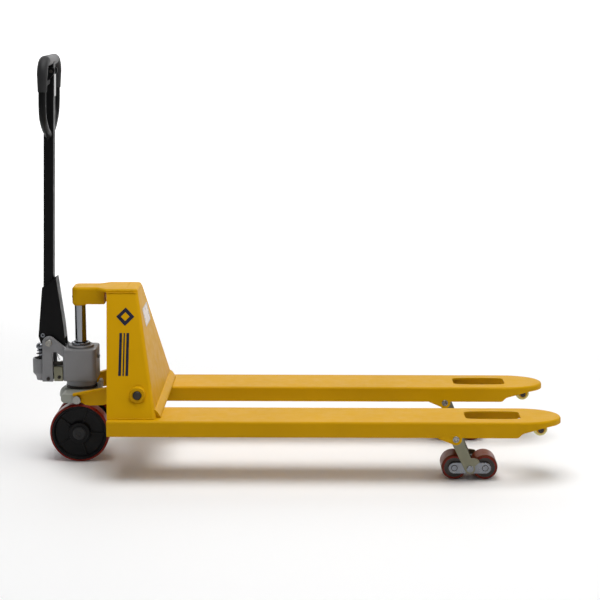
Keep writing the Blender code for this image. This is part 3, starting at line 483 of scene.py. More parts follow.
def arc(cx, cy, r, a0, a1, n):
    n = max(2, round(n * 2.4))
    return [(cx + r * math.cos(math.radians(a0 + (a1 - a0) * i / n)), cy + r * math.sin(math.radians(a0 + (a1 - a0) * i / n))) for i in range(n + 1)]


def circle(cx, cy, r, n=48):
    return [(cx + r * math.cos(2 * math.pi * i / n), cy + r * math.sin(2 * math.pi * i / n)) for i in range(n)]


def hull2(c1, r1, c2, r2, n=12):
    (x1, y1), (x2, y2) = c1, c2
    d = math.hypot(x2 - x1, y2 - y1)
    th = math.degrees(math.atan2(y2 - y1, x2 - x1))
    b = math.degrees(math.acos(max(-1, min(1, (r1 - r2) / d))))
    return arc(x1, y1, r1, th + b, th + 360 - b, n) + arc(x2, y2, r2, th - b, th + b, n)


def rounded(x0, x1, y0, y1, r, n=5):
    rs = r if isinstance(r, (tuple, list)) else (r, r, r, r)
    out = []
    for (cx, cy, a), q in zip(((x0, y0, 180), (x1, y0, 270), (x1, y1, 0), (x0, y1, 90)), rs):
        sx, sy = (1 if cx == x0 else -1), (1 if cy == y0 else -1)
        out += arc(cx + sx * q, cy + sy * q, q, a, a + 90, n) if q else [(cx, cy)]
    return out


def smooth_path(pts, per=6):
    """Catmull-Rom through the points."""
    out = []
    P = [Vector(p) for p in pts]
    for i in range(len(P) - 1):
        p0, p1, p2, p3 = P[max(i - 1, 0)], P[i], P[i + 1], P[min(i + 2, len(P) - 1)]
        for k in range(per):
            t = k / per
            out.append(tuple(0.5 * ((2 * p1) + (p2 - p0) * t + (2 * p0 - 5 * p1 + 4 * p2 - p3) * t * t + (3 * p1 - p0 - 3 * p2 + p3) * t ** 3)))
    out.append(tuple(P[-1]))
    return out


def done(o, name, mat, owner, *nodes, on_handle=False, shade=38.0):
    """Places a finished piece in the frame, shades it, and hangs it on its body in place of its CAD nodes."""
    o.name = name
    o.data.name = name
    o.data.transform((SHIFT @ HANDLE) if on_handle else SHIFT)
    o.data.materials.clear()
    for m in mat if isinstance(mat, (list, tuple)) else (mat,):
        o.data.materials.append(M[m])
    o.data.shade_smooth()
    o.data.set_sharp_from_angle(angle=math.radians(shade))
    w = o.modifiers.new("weighted", "WEIGHTED_NORMAL")
    w.keep_sharp = True
    w.weight = 60
    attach(o, owner)
    if nodes:
        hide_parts(*nodes)
    return o


def cast(o, voxel=1.5, passes=3):
    """Melts the joins of a casting into fillets."""
    m = o.modifiers.new("remesh", "REMESH")
    m.mode = "VOXEL"
    m.voxel_size = voxel * MM
    m.adaptivity = 0.0
    s = o.modifiers.new("smooth", "SMOOTH")
    s.factor = 0.5
    s.iterations = passes
    o.data = baked(o)
    o.modifiers.clear()
    return o


def quick_cut(base, *others):
    for other in others:
        m = base.modifiers.new("cut", "BOOLEAN")
        m.operation = "DIFFERENCE"
        m.solver = "FAST"
        m.object = other
        base.data = baked(base)
        base.modifiers.clear()
        bpy.data.objects.remove(other, do_unlink=True)
    return base


def merged(base, *others):
    """Several closed shells of one piece as one mesh."""
    bm = bmesh.new()
    for o in (base, *others):
        bm.from_mesh(o.data)
    bm.to_mesh(base.data)
    bm.free()
    for o in others:
        bpy.data.objects.remove(o, do_unlink=True)
    return base


def rings_to_mesh(name, rings, close=True, cap0=False, cap1=False):
    """Quads between rings of points in mm; close joins each ring's ends."""
    bm = bmesh.new()
    V = [[bm.verts.new(Vector(p) * MM) for p in ring] for ring in rings]
    for A, B in zip(V, V[1:]):
        n = len(A)
        for i in range(n if close else n - 1):
            j = (i + 1) % n
            bm.faces.new((A[i], A[j], B[j], B[i]))
    if cap0:
        bm.faces.new(list(reversed(V[0])))
    if cap1:
        bm.faces.new(V[-1])
    return from_bm(name, bm)


def cap_screw(name, r, axis, a, b, c1, c2, socket=True):
    """Socket or hexagon head drawn from a to b (b is the face)."""
    o = rod(name, r, axis, min(a, b), max(a, b), c1, c2, 48 if socket else 6, 0.7)
    if socket:
        d = 1 if b > a else -1
        lo, hi = sorted((b - d * 3.0, b + d * 3.0))
        join(o, "DIFFERENCE", rod("t", r * 0.52, axis, lo, hi, c1, c2, 6))
    return o


# ---------------------------------------------------------------- forks
def nose_outline(half, length, start, rear, n=56):
    pts = [(rear, -half)] + [(x, -half) for x in (-200.0, 100.0, 400.0, 600.0, 655.0, 659.5, 663.0, start)]
    for i in range(1, 2 * n):
        t = math.pi * i / (2 * n) - math.pi / 2
        x, y = math.cos(t), math.sin(t)
        pts.append((start + length * abs(x) ** 0.95, half * abs(y) ** 0.95 * (1 if y > 0 else -1)))
    return pts + [(x, half) for x in (start, 663.0, 659.5, 655.0, 600.0, 400.0, 100.0, -200.0)] + [(rear, half)]


SIDE_LOW = [(655.0, FORK_BOTTOM), (659.5, 140.2), (663.0, 142.5), (668.0, 148.0), (672.0, 151.2), (678.0, 153.4), (702.0, 159.5), (720.0, 163.6), (735.0, 166.3), (750.0, 167.8), (FORK_TIP + 8, 168.5)]


def low_z(x):
    """Lower edge of a fork's wall at x."""
    if x <= SIDE_LOW[0][0]:
        return FORK_BOTTOM
    for (x0, z0), (x1, z1) in zip(SIDE_LOW, SIDE_LOW[1:]):
        if x <= x1:
            return z0 + (z1 - z0) * (x - x0) / (x1 - x0)
    return SIDE_LOW[-1][1]


def make_fork(s, k):
    yc = k * FORK_Y
    R, r = 7.0, 2.4
    length = FORK_TIP - NOSE_START

    def ring(inset, z, rear):
        return [(x, yc + y, low_z(x) if z is None else z) for x, y in nose_outline(FORK_HALF - inset, length - inset, NOSE_START, rear)]

    rings = [ring(SHEET, None, FORK_REAR)]
    for i in range(5):
        t = math.radians(90 * i / 4)
        rings.append(ring(SHEET + r * (1 - math.cos(t)), FORK_TOP - SHEET - r + r * math.sin(t), FORK_REAR))
    inner_top = rings[-1]
    outer = [ring(0.0, None, FORK_REAR)]
    for i in range(9):
        t = math.radians(90 * i / 8)
        outer.append(ring(R * (1 - math.cos(t)), FORK_TOP - R + R * math.sin(t), FORK_REAR))
    bm = bmesh.new()

    def quads(rs, flip):
        V = [[bm.verts.new(Vector(p) * MM) for p in rg] for rg in rs]
        for A, B in zip(V, V[1:]):
            for i in range(len(A) - 1):
                q = (A[i], A[i + 1], B[i + 1], B[i])
                bm.faces.new(tuple(reversed(q)) if flip else q)
        return V

    O, I = quads(outer, False), quads(rings, True)
    bm.faces.new(O[-1])
    bm.faces.new(list(reversed(I[-1])))
    for i in range(len(O[0]) - 1):  # lower rim
        bm.faces.new((O[0][i + 1], O[0][i], I[0][i], I[0][i + 1]))
    # rear end: walls and top as one n-gon
    loop = [V[0] for V in O] + [V[-1] for V in reversed(O)] + [V[-1] for V in I] + [V[0] for V in reversed(I)]
    bm.faces.new(loop)
    bmesh.ops.recalc_face_normals(bm, faces=bm.faces)
    o = from_bm("v_fork_" + s, bm)
    yi = yc - k * 74.7
    ear = plate("t", hull2((432.0, 142.0), 4.0, LEG, 17.0), "Y", min(yi, yi - k * 5.2), max(yi, yi - k * 5.2), 0.8)
    join(o, "UNION", ear)
    lo, hi = sorted((yi - k * 20, yi + k * 20))
    join(o, "DIFFERENCE", rod("t", 9.8, "Y", lo, hi, LEG[0], LEG[1]))
    yo = yc + k * 78
    join(o, "DIFFERENCE", plate("t", hull2((432.0, 138.0), 2.6, LEG, 17.7), "Y", yo - 8, yo + 8))
    slot = smooth_path([(511.0, -26), (513.5, -31.5), (520, -36.2), (545, -39.6), (592, -41), (638, -39.8), (661, -37), (669.5, -32), (672.5, -25)], 5)
    slot = slot + [(x, -y) for x, y in reversed(slot)]
    join(o, "DIFFERENCE", plate("t", [(x, yc + y) for x, y in slot], "Z", 170, 200))
    join(o, "DIFFERENCE", plate("t", rounded(-500, -385, yc - 22, yc + 22, 6), "Z", 170, 200))
    for d in (-1, 1):
        y0, y1 = sorted((yc + d * 48.0, yc + d * 55.0))
        cheek = plate("t", smooth_path([(708.0, 182.0), (711.0, 165.0), (717.0, 150.0), (727.0, 145.5), (737.0, 150.0), (743.0, 165.0), (746.0, 182.0)], 5), "Y", y0, y1, 0.6)
        join(cheek, "DIFFERENCE", rod("t", 5.4, "Y", y0 - 2, y1 + 2, ENTRY[0], ENTRY[1]))
        join(o, "UNION", cheek)
    done(o, "v_fork_" + s, "yellow", "root", "fork_" + s)
    e0, e1 = sorted((yc + k * 73.0, yc + k * 80.8))
    ear = plate("t", hull2((432.0, 138.0), 2.0, LEG, 17.0), "Y", e0, e1, 0.8, holes=[(LEG[0], LEG[1], 9.9)])
    done(ear, "v_leg_ear_" + s, "yellow", "root", "leg_ear_" + s)
    pin = turned("t", [(0, 80.0), (4.5, 80.0), (5.5, 82.0), (8.6, 82.0), (9.5, 81.0), (9.5, -81.0), (8.6, -82.0), (5.5, -82.0), (4.5, -80.0), (0, -80.0)], "Y", (LEG[0], yc, LEG[1]), fillet=0.4)
    done(pin, "v_leg_pin_" + s, "turned", "root", "leg_pin_" + s)
    # weld beads between the fork and the foot of the body
    pts = []
    for i in range(60):
        x = -528.0 + (i / 59) * 136.0
        pts.append((x, k * (half_width(186.5) + 0.8), 186.2))
    bead = tube("t", pts, [2.3 + 0.28 * math.sin(i * 2.1) for i in range(60)], 10)
    done(bead, "v_weld_side_" + s, "yellow", "root")


def half_width(z):
    return TOP_HALF + (CHASSIS_TOP - z) / (CHASSIS_TOP - 190.0) * (LOW_HALF - TOP_HALF)


def rear_x(z):
    return -549.0 + (CHASSIS_TOP - z) / (CHASSIS_TOP - 190.0) * 19.5


def front_x(z):
    return -456.5 + (CHASSIS_TOP - z) / (CHASSIS_TOP - 190.0) * 69.0


for s, k in SIDES:
    make_fork(s, k)

# ---------------------------------------------------------------- body shell: one folded sheet, open behind
def skin_path(z, inset, back=0.0):
    hw, fx, rx = half_width(z) - inset, front_x(z) - inset, rear_x(z) - back
    r = 11.0 - min(inset, 5.4)
    right = [(rx, -hw), (rx + 30, -hw)] + [(x, y) for x, y in arc(fx - r, -hw + r, r, -90, 0, 4)]
    return right + [(x, -y) for x, y in reversed(right)]


def make_skin():
    z0, z1 = FORK_TOP + 0.3, CHASSIS_TOP - SHEET + 0.4
    levels = [z0 + (z1 - z0) * i / 8 for i in range(9)]
    bm = bmesh.new()
    O = [[bm.verts.new(Vector((x, y, z)) * MM) for x, y in skin_path(z, 0.0)] for z in levels]
    I = [[bm.verts.new(Vector((x, y, z)) * MM) for x, y in skin_path(z, 5.4)] for z in levels]
    n = len(O[0])
    for V in (O, I):
        for A, B in zip(V, V[1:]):
            for i in range(n - 1):
                bm.faces.new((A[i], A[i + 1], B[i + 1], B[i]))
    for i in range(n - 1):
        bm.faces.new((O[0][i], I[0][i], I[0][i + 1], O[0][i + 1]))
        bm.faces.new((O[-1][i], O[-1][i + 1], I[-1][i + 1], I[-1][i]))
    for a, b, c, d in zip(O, O[1:], I[1:], I):
        bm.faces.new((a[0], b[0], c[0], d[0]))
        bm.faces.new((a[-1], d[-1], c[-1], b[-1]))
    o = from_bm("v_body_shell", bm)
    for k in (-1, 1):
        lo, hi = sorted((k * 195.0, k * 260.0))
        join(o, "DIFFERENCE", rod("t", 22.6, "Y", lo, hi, *SHAFT, seg=72))
    return o


done(make_skin(), "v_body_shell", "yellow", "root", "side_panel_right", "side_panel_left", "front_plate")
for s, k in SIDES:
    b0, b1 = sorted((k * 208.0, k * 231.0))
    done(turned("t", [(23.0, 11.5), (23.0, -11.5), (13.0, -11.5), (13.0, 11.5)], "Y", (SHAFT[0], (b0 + b1) / 2, SHAFT[1]), fillet=1.2), "v_shaft_boss_" + s, "yellow", "root", "shaft_boss_" + s)
done(turned("t", [(0, 235.0), (10.5, 235.0), (12.5, 233.0), (12.5, -233.0), (10.5, -235.0), (0, -235.0)], "Y", (SHAFT[0], 0, SHAFT[1]), fillet=0.4), "v_crank_shaft", "dark", "root", "crank_shaft")
ridge_out = [(front_x(208) - 3, 209), (front_x(208) + 1.2, 209), (front_x(204) + 5.5, 204.5), (front_x(193) + 11.5, 193), (front_x(193) + 14, 189), (front_x(193) + 14, FORK_TOP + 0.3), (front_x(193) - 3, FORK_TOP + 0.3)]
done(plate("t", ridge_out, "Y", -236, 236, 1.0), "v_kick_ridge", "yellow", "root")

NOSE = [(-658.5, -18.0)] + arc(-638.5, -18.0, 20.0, 180, 270, 6)[1:]


def top_slab():
    """The plate over the body: its upper rim is one broad fold, and its throat flares into the body."""
    half = NOSE + arc(-588.2, -58.0, 20.0, 90, 48.5, 5) + arc(-548.95, -50.0, 12.0, 228.5, 270, 5) + arc(-470.5, -48.0, 14.0, 270, 360, 7)
    pts = [Vector(q) for q in half + [(x, -y) for x, y in reversed(half)]]
    n = len(pts)
    ins = []
    for i, q in enumerate(pts):
        u, w = (q - pts[i - 1]).normalized(), (pts[(i + 1) % n] - q).normalized()
        a, b = Vector((-u.y, u.x)), Vector((-w.y, w.x))
        m = (a + b).normalized()
        ins.append(m / max(0.5, m.dot(a)))
    R = 8.5
    levels = [(0.0, CHASSIS_TOP - 5.0)] + [(R * (1 - math.cos(t)), CHASSIS_TOP + 5 - R + R * math.sin(t)) for t in [math.radians(15 * i) for i in range(7)]]
    rings = [[(q.x + m.x * d, q.y + m.y * d, z) for q, m in zip(pts, ins)] for d, z in levels]
    return rings_to_mesh("t", rings, cap0=True, cap1=True)


o = top_slab()
rimo = NOSE + [(-560.0, -38.5)]
rimo = rimo + [(x, -y) for x, y in reversed(rimo)]
rim = plate("t", rimo, "Z", 480.0, CHASSIS_TOP - 3.0, 0.0)
join(rim, "DIFFERENCE", plate("t", [(-680.0, 470.0), (-614.0, 470.0), (-616.0, 480.0), (-661.0, 506.0), (-680.0, 506.0)], "Y", -60, 60))
join(rim, "UNION", rod("t", 20.4, "Z", 480.3, CHASSIS_TOP - 4.3, RAM_X, 0.0, 96, 1.2))
join(o, "UNION", rim)
join(o, "DIFFERENCE", rod("t", 3.4, "X", -690.0, -645.0, 0.0, 496.0, 32))
join(o, "DIFFERENCE", plate("t", [(-492.0, 540.0), (-490.9, 530.2), (-487.1, 530.2), (-486.0, 540.0)], "Y", -56, 56, 0.0))
done(o, "v_top_plate", "yellow", "root", "top_plate")
o = rod("t", 3.0, "X", -662.6, -646.0, 0.0, 496.0, 32, 0.4)
join(o, "DIFFERENCE", rod("t", 1.6, "X", -666.0, -660.0, 0.0, 496.0, 6))
done(o, "v_set_screw", "dark", "root", "set_screw")
done(turned("t", [(20.4, 479.9), (20.4, 473.0), (19.4, 471.5), (17.35, 471.5), (17.35, 479.9)], "Z", (RAM_X, 0, 0)), "v_ram_cup", "yellow", "root", "ram_cup")
done(turned("t", [(0, 479.5), (RAM_R, 479.5), (RAM_R, 331.0), (RAM_R - 2, 329.0), (0, 329.0)], "Z", (RAM_X, 0, 0), 128), "v_ram", "chrome", "root", "ram")
for s, k in SIDES:  # weld along the top plate's edge
    pts = [(-546.0 + 86.0 * i / 40, k * (half_width(520.6) + 0.6), 520.6) for i in range(41)]
    done(tube("t", pts, [1.7 + 0.22 * math.sin(i * 2.3) for i in range(41)], 10), "v_weld_top_" + s, "yellow", "root")

# plain label on the front plate, plain marks on the sides
def on_front(pts, lift):
    """Points (y, z) laid on the front plate, lifted off it."""
    n = Vector((1, 0, 69.0 / 336.0)).normalized()
    return [Vector((front_x(z), y, z)) + n * lift for y, z in pts]


def thin_sheet(name, outline3, normal, t=0.35):
    bm = bmesh.new()
    f = bm.faces.new([bm.verts.new(p * MM) for p in outline3])
    top = bmesh.ops.extrude_face_region(bm, geom=[f])
    bmesh.ops.translate(bm, vec=normal * t * MM, verts=[v for v in top["geom"] if isinstance(v, bmesh.types.BMVert)])
    return from_bm(name, bm)


nf = Vector((1, 0, 69.0 / 336.0)).normalized()
done(thin_sheet("t", on_front(rounded(-49, 63, 413, 468, 4, 3), 0.1), nf), "v_label_border", "label_dark", "root")
done(thin_sheet("t", on_front(rounded(-46, 60, 416, 465, 3, 3), 0.3), nf), "v_label_field", "label", "root")


def on_side(pts, k, lift):
    n = Vector((0, k * 1.0, 188.0 / 336.0)).normalized()
    return [Vector((x, k * half_width(z), z)) + n * lift for x, z in pts]


for s, k in SIDES:
    ns = Vector((0, k * 1.0, 188.0 / 336.0)).normalized()
    diamond = [(-489.0 + 27 * a, 456.0 + 25 * b) for a, b in ((-1, 0), (0, -1), (1, 0), (0, 1))]
    done(thin_sheet("t", on_side(diamond, k, 0.1), ns), "v_side_diamond_" + s, "navy", "root")
    small = [(-489.0 + 13 * a, 456.0 + 12 * b) for a, b in ((-1, 0), (0, -1), (1, 0), (0, 1))]
    done(thin_sheet("t", on_side(small, k, 0.3), ns), "v_side_diamond_inner_" + s, "yellow", "root")
    for i, w in enumerate((8.0, 4.0, 8.0)):
        x = -487.0 + (i - 1) * 10.5
        bar = [(x - w / 2 + 0.06 * 0, 298.0), (x + w / 2, 298.0), (x + w / 2 - 2.5, 412.0), (x - w / 2 - 2.5, 412.0)]
        done(thin_sheet("t", on_side(bar, k, 0.1), ns), f"v_side_bar_{i}_{s}", "navy", "root")

# ---------------------------------------------------------------- thrust yoke
dome = turned("t", [(49.0, 218.0), (55.0, 216.5), (62.5, 211.0), (66.5, 204.0), (68.0, 197.0), (68.0, 189.0), (34.0, 189.0), (34.0, 218.0)], "Z", (RAM_X, 0, 0), fillet=2.0)
for k in (-1, 1):
    y0, y1 = sorted((k * 40.0, k * 91.0))
    blk = plate("t", rounded(-689.0, -625.0, 187.5, 215.5, 11.0), "Y", y0, y1, 2.0)
    join(blk, "DIFFERENCE", rod("t", 40.0, "Z", 150, 250, RAM_X, 0.0))
    join(dome, "UNION", blk)
    y0, y1 = sorted((k * 80.0, k * 94.0))
    join(dome, "UNION", rod("t", 16.0, "Y", y0, y1, RAM_X, YOKE_Z, 48, 2.0))
lug = plate("t", [(-592.0, 196.0), (-578.0, 196.0), (-574.0, 232.0), (-578.0, 239.0), (-585.0, 239.0), (-589.0, 232.0)], "Y", -16, 16, 1.5)
join(dome, "UNION", lug)
done(cast(dome, 1.4, 3), "v_thrust_yoke", "light_cast", "yoke", "thrust_yoke", shade=60)
for s, k in SIDES:
    o = turned("t", [(0, 34.0), (11.5, 34.0), (13.0, 32.5), (13.0, 29.0), (10.5, 29.0), (10.5, 0.0), (0, 0.0)], "Y" , (0, 0, 0), fillet=0.5)
    if k < 0:
        o.data.transform(Matrix.Rotation(math.pi, 4, "Z"))
    o.data.transform(Matrix.Translation(Vector((RAM_X, k * 80.0, YOKE_Z)) * MM))
    done(o, "v_yoke_trunnion_" + s, "turned", "yoke")
done(turned("t", [(47.0, 225.5), (47.0, 222.6), (45.5, 221.9), (47.0, 221.2), (47.0, 218.3), (32.0, 218.3), (32.0, 225.5)], "Z", (RAM_X, 0, 0), fillet=0.5), "v_thrust_bearing", "dark", "yoke", "thrust_bearing")

# ---------------------------------------------------------------- pump
px, pz = PIVOT
house = plate("t", rounded(-688.0, -588.0, -50.0, 50.0, (8, 13, 13, 8), 6), "Z", 244.0, 342.0, 3.0)
join(house, "UNION", rod("t", 46.0, "Z", 226.0, 246.0, RAM_X, 0.0, 96, 2.0))
join(house, "UNION", rod("t", 31.0, "Z", 150.0, 230.0, RAM_X, 0.0, 96, 1.5))
join(house, "UNION", box("t", (RAM_X - 27, RAM_X + 27), (-21, 21), (64, 188), 4.0))
join(house, "UNION", plate("t", [(-752.0, 262.0), (-680.0, 262.0), (-680.0, 246.0), (-745.0, 242.0)], "Y", -14.0, 14.0, 2.0))
join(house, "UNION", turned("t", [(0, 306.0), (26.0, 306.0), (27.0, 302.0), (27.0, 262.0), (18.0, 250.0), (16.0, 238.0), (0, 238.0)], "Z", (PISTON_X, 0, 0), fillet=1.5))
for k in (-1, 1):
    y0, y1 = sorted((k * 30.0, k * 42.0))
    out = [(px - 23.0, 240.5)] + arc(px, pz, 20.0, 185, 40, 10) + [(-678.0, 344.0), (-678.0, 310.0), (-711.0, 333.0), (px + 10.5, 330.0), (px + 10.5, 240.5)]
    join(house, "UNION", plate("t", out, "Y", y0, y1, 1.5))
    y0, y1 = sorted((k * 10.0, k * 34.0))
    join(house, "UNION", box("t", (px - 20.0, px + 8.0), (y0, y1), (242.0, 262.0), 2.0))
cast(house, 1.6, 3)
quick_cut(house, rod("t", 21.0, "Z", 268.0, 320.0, PISTON_X, 0.0, 64), rod("t", 9.4, "Z", 246.0, 300.0, PISTON_X, 0.0, 48), rod("t", RAM_R + 0.5, "Z", 212.0, 360.0, RAM_X, 0.0, 64), rod("t", 10.8, "Y", -60.0, 60.0, px, pz, 64), rod("t", 10.3, "Y", -60.0, 60.0, RAM_X, WHEEL_R, 64))
done(house, "v_pump_housing", "cast", "pump", "pump_housing", shade=50)
done(turned("t", [(18.0, 349.0), (37.0, 349.0), (39.0, 347.0), (39.0, 341.0), (18.0, 341.0)], "Z", (RAM_X, 0, 0), fillet=0.8), "v_pump_flange", "cast", "pump")
nut = plate("t", circle(RAM_X, 0.0, 28.6, 8), "Z", 349.3, 356.5, 1.2)
join(nut, "DIFFERENCE", rod("t", RAM_R + 0.5, "Z", 340.0, 370.0, RAM_X, 0.0))
done(nut, "v_gland_nut", "steel", "pump", "gland_nut")
done(turned("t", [(RAM_R + 0.15, 358.6), (RAM_R + 3.4, 358.2), (RAM_R + 4.2, 356.4), (RAM_R + 0.6, 356.0)], "Z", (RAM_X, 0, 0), fillet=0.3), "v_ram_wiper", "core", "pump")
o = turned("t", [(0, 18.0), (5.5, 18.0), (6.5, 17.0), (6.5, 12.3), (5.0, 12.3), (5.0, 2.0), (0, 2.0)], "X", (-600.0, 0.0, 312.0), fillet=0.4)
join(o, "DIFFERENCE", rod("t", 2.9, "X", -585.0, -575.0, 0.0, 312.0, 6))
done(o, "v_filler_bolt", "steel", "pump", "filler_bolt")
valve = box("t", (-716.0, -689.0), (-44.0, -15.0), (243.0, 288.0), 1.6)
done(valve, "v_valve_block", "zinc", "pump", "valve_block")
done(cap_screw("t", 5.0, "Y", -30.0, -48.0, -700.0, 256.0), "v_valve_screw", "dark", "pump")
done(rod("t", 5.6, "Z", 286.0, 289.2, -703.0, -30.0, 48, 0.6), "v_valve_stem", "steel", "pump")
for s, k in SIDES:
    done(cap_screw("t", 5.2, "Y", k * 40.0, k * 46.5, px - 4.0, 250.5), "v_foot_screw_" + s, "dark", "pump")
done(turned("t", [(0, 79.0), (7.5, 79.0), (8.5, 80.5), (17.0, 80.5), (20.0, 77.5), (20.0, 75.5), (10.0, 75.5), (10.0, -75.5), (20.0, -75.5), (20.0, -77.5), (17.0, -80.5), (8.5, -80.5), (7.5, -79.0), (0, -79.0)], "Y", (RAM_X, 0, WHEEL_R), fillet=0.5), "v_steer_axle", "grip", "pump", "steer_axle")
done(turned("t", [(0, 44.6), (5.0, 44.6), (6.0, 46.0), (9.5, 46.0), (10.5, 45.0), (10.5, -45.0), (9.5, -46.0), (6.0, -46.0), (5.0, -44.6), (0, -44.6)], "Y", (px, 0, pz), fillet=0.4), "v_handle_pivot_pin", "turned", "pump", "handle_pivot_pin")

# release lever above the valve block, and its chain
lev = plate("t", [(-722.0, 290.0), (-691.0, 289.5), (-689.0, 296.0), (-694.0, 301.5), (-703.0, 299.0), (-714.0, 301.5), (-723.0, 297.0)], "Y", -29.0, -17.0, 1.2)
done(lev, "v_release_lever", "dark", "release_lever", "release_lever")
CHAIN = smooth_path([(-702.0, -23.0, 304.5), (-704.0, -22.5, 312.0), (-707.0, -22.0, 320.0), (-710.0, -21.0, 330.0), (-712.0, -20.0, 338.0)], 8)
links = []
for i in range(7):
    a = Vector(CHAIN[min(len(CHAIN) - 1, int((i + 0.1) * (len(CHAIN) - 1) / 7))])
    b = Vector(CHAIN[min(len(CHAIN) - 1, int((i + 1.15) * (len(CHAIN) - 1) / 7))])
    t = (b - a).normalized()
    side = t.cross(Vector((1, 0, 0)) if i % 2 else Vector((0, 1, 0))).normalized()
    mid = (a + b) / 2
    half = (b - a).length / 2 + 0.5
    pts = [mid + t * (half * math.cos(q)) + side * (1.9 * math.sin(q)) for q in [2 * math.pi * j / 20 for j in range(20)]]
    links.append(tube("t", pts, 0.62, 10, closed=True))
done(merged(*links), "v_release_chain", "steel", "release_lever", "release_chain")

# ---------------------------------------------------------------- piston and spring
done(turned("t", [(0, 353.0), (5.0, 352.7), (10.0, 351.3), (14.0, 348.0), (16.0, 343.0), (16.0, 338.0), (11.0, 333.0), (9.0, 331.0), (14.0, 330.0), (14.0, 327.5), (8.8, 326.0), (8.8, 274.0), (0, 274.0)], "Z", (PISTON_X, 0, 0), fillet=0.7), "v_pump_piston", "steel", "piston", "pump_piston")
coil = []
turns, per = 5.0, 40
for i in range(int(turns * per) + 1):
    a = 2 * math.pi * i / per
    u = i / (turns * per)
    h = 0.02 + 0.96 * u if 0.1 < u < 0.9 else (u * 1.16 if u <= 0.1 else 1 - (1 - u) * 1.16)
    coil.append((PISTON_X + 14.0 * math.cos(a), 14.0 * math.sin(a), 272.5 + (325.0 - 272.5) * h))
spring = tube("t", coil, 1.6, 14)
spring.name = spring.data.name = "v_pump_spring"
spring.data.transform(SHIFT)
spring.data.materials.append(M["dark"])
spring.data.shade_smooth()
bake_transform(spring)
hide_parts("pump_spring")

# ---------------------------------------------------------------- steer wheels
for s, k in SIDES:
    yc = k * 50.0
    core = turned("t", [(83.4, 24.0), (83.4, -24.0), (78.5, -24.5), (75.5, -22.0), (73.0, -14.0), (36.0, -12.5), (32.5, -15.0), (31.5, -24.5), (10.6, -24.5), (10.6, 24.5), (31.5, 24.5), (32.5, 15.0), (36.0, 12.5), (73.0, 14.0), (75.5, 22.0), (78.5, 24.5)], "Y", (RAM_X, yc, WHEEL_R), 128, fillet=1.6)
    for i in range(5):
        a = math.radians(70 + 72 * i)
        rib = plate("t", [(27.0, -3.4), (50.0, -2.4), (77.0, -3.0), (77.0, 3.0), (50.0, 2.4), (27.0, 3.4)], "Z", -17.0, 17.0, 1.2)
        rib.data.transform(Matrix.Translation(Vector((RAM_X, yc, WHEEL_R)) * MM) @ Matrix.Rotation(-a, 4, "Y") @ Matrix.Rotation(math.radians(90), 4, "X"))
        join(core, "UNION", rib)
    done(core, "v_steer_wheel_core_" + s, "core", "steer_wheel_" + s, "steer_wheel_core_" + s)
    for d in (-1, 1):
        hub = turned("t", [(10.7, 24.4 * d), (10.7, 25.1 * d), (17.0, 25.1 * d), (19.0, 24.4 * d)], "Y", (RAM_X, yc, WHEEL_R), fillet=0.2)
        done(hub, f"v_steer_bearing_{s}_{'out' if d * k > 0 else 'in'}", "turned", "steer_wheel_" + s)
    done(turned("t", [(90.0, 18.0), (90.0, -18.0), (88.8, -22.5), (86.0, -25.0), (83.6, -25.0), (83.6, 25.0), (86.0, 25.0), (88.8, 22.5)], "Y", (RAM_X, yc, WHEEL_R), 160, fillet=1.5), "v_steer_wheel_tyre_" + s, "tyre", "steer_wheel_" + s, "steer_wheel_tyre_" + s)

# ---------------------------------------------------------------- crank
lx, lz = SHAFT[0] + LUG1 * math.sin(CRANK_A), SHAFT[1] - LUG1 * math.cos(CRANK_A)
crank = rod("t", 19.0, "Y", -207.0, 207.0, SHAFT[0], SHAFT[1], 96, 1.0)
for s, k in SIDES:
    out = [(-650.0, 220.0), (-650.0, 212.0), (-630.0, 197.0), (-612.0, 187.5), (-595.0, 186.8), (-560.0, 190.0), (-500.0, 209.5), (-440.0, 231.0), (-424.0, 246.0), (-426.0, 262.0), (-440.0, 270.0), (-480.0, 266.0), (-546.0, 246.0)]
    arm = plate("t", out, "Y", -4.5, 4.5, 1.2)
    saddle = arc(RAM_X + 6.5, YOKE_Z, 12.7, 90, -90, 12) + [(RAM_X - 40, YOKE_Z - 12.7), (RAM_X - 40, YOKE_Z + 12.7)]
    join(arm, "DIFFERENCE", plate("t", saddle, "Y", -30, 30))
    flange = plate("t", [(-650.0, 221.0), (-650.0, 216.0), (-546.0, 241.0), (-480.0, 262.0), (-480.0, 268.0), (-546.0, 247.0)], "Y", k * 8.0 - 8.0, k * 8.0 + 8.0, 1.2)
    join(arm, "UNION", flange)
    slope = (ARM_Y[1] - ARM_Y[0]) / (SHAFT[0] - RAM_X)
    arm.data.transform(Matrix(((1, 0, 0, 0), (k * slope, 1, 0, k * (ARM_Y[0] + 3.5 - slope * RAM_X) * MM), (0, 0, 1, 0), (0, 0, 0, 1))))
    join(crank, "UNION", arm)
    for d in (-1, 1):
        y0, y1 = sorted((k * FORK_Y + d * 7.0, k * FORK_Y + d * 12.0))
        join(crank, "UNION", plate("t", hull2(SHAFT, 21.0, (lx, lz), 9.0), "Y", y0, y1, 0.8))
    join(crank, "UNION", rod("t", 5.0, "Y", k * FORK_Y - 11.0, k * FORK_Y + 11.0, lx, lz, 48))
join(crank, "DIFFERENCE", rod("t", SHAFT_R + 0.4, "Y", -260.0, 260.0, SHAFT[0], SHAFT[1]))
done(crank, "v_crank_frame", "yellow", "crank", "crank_frame")

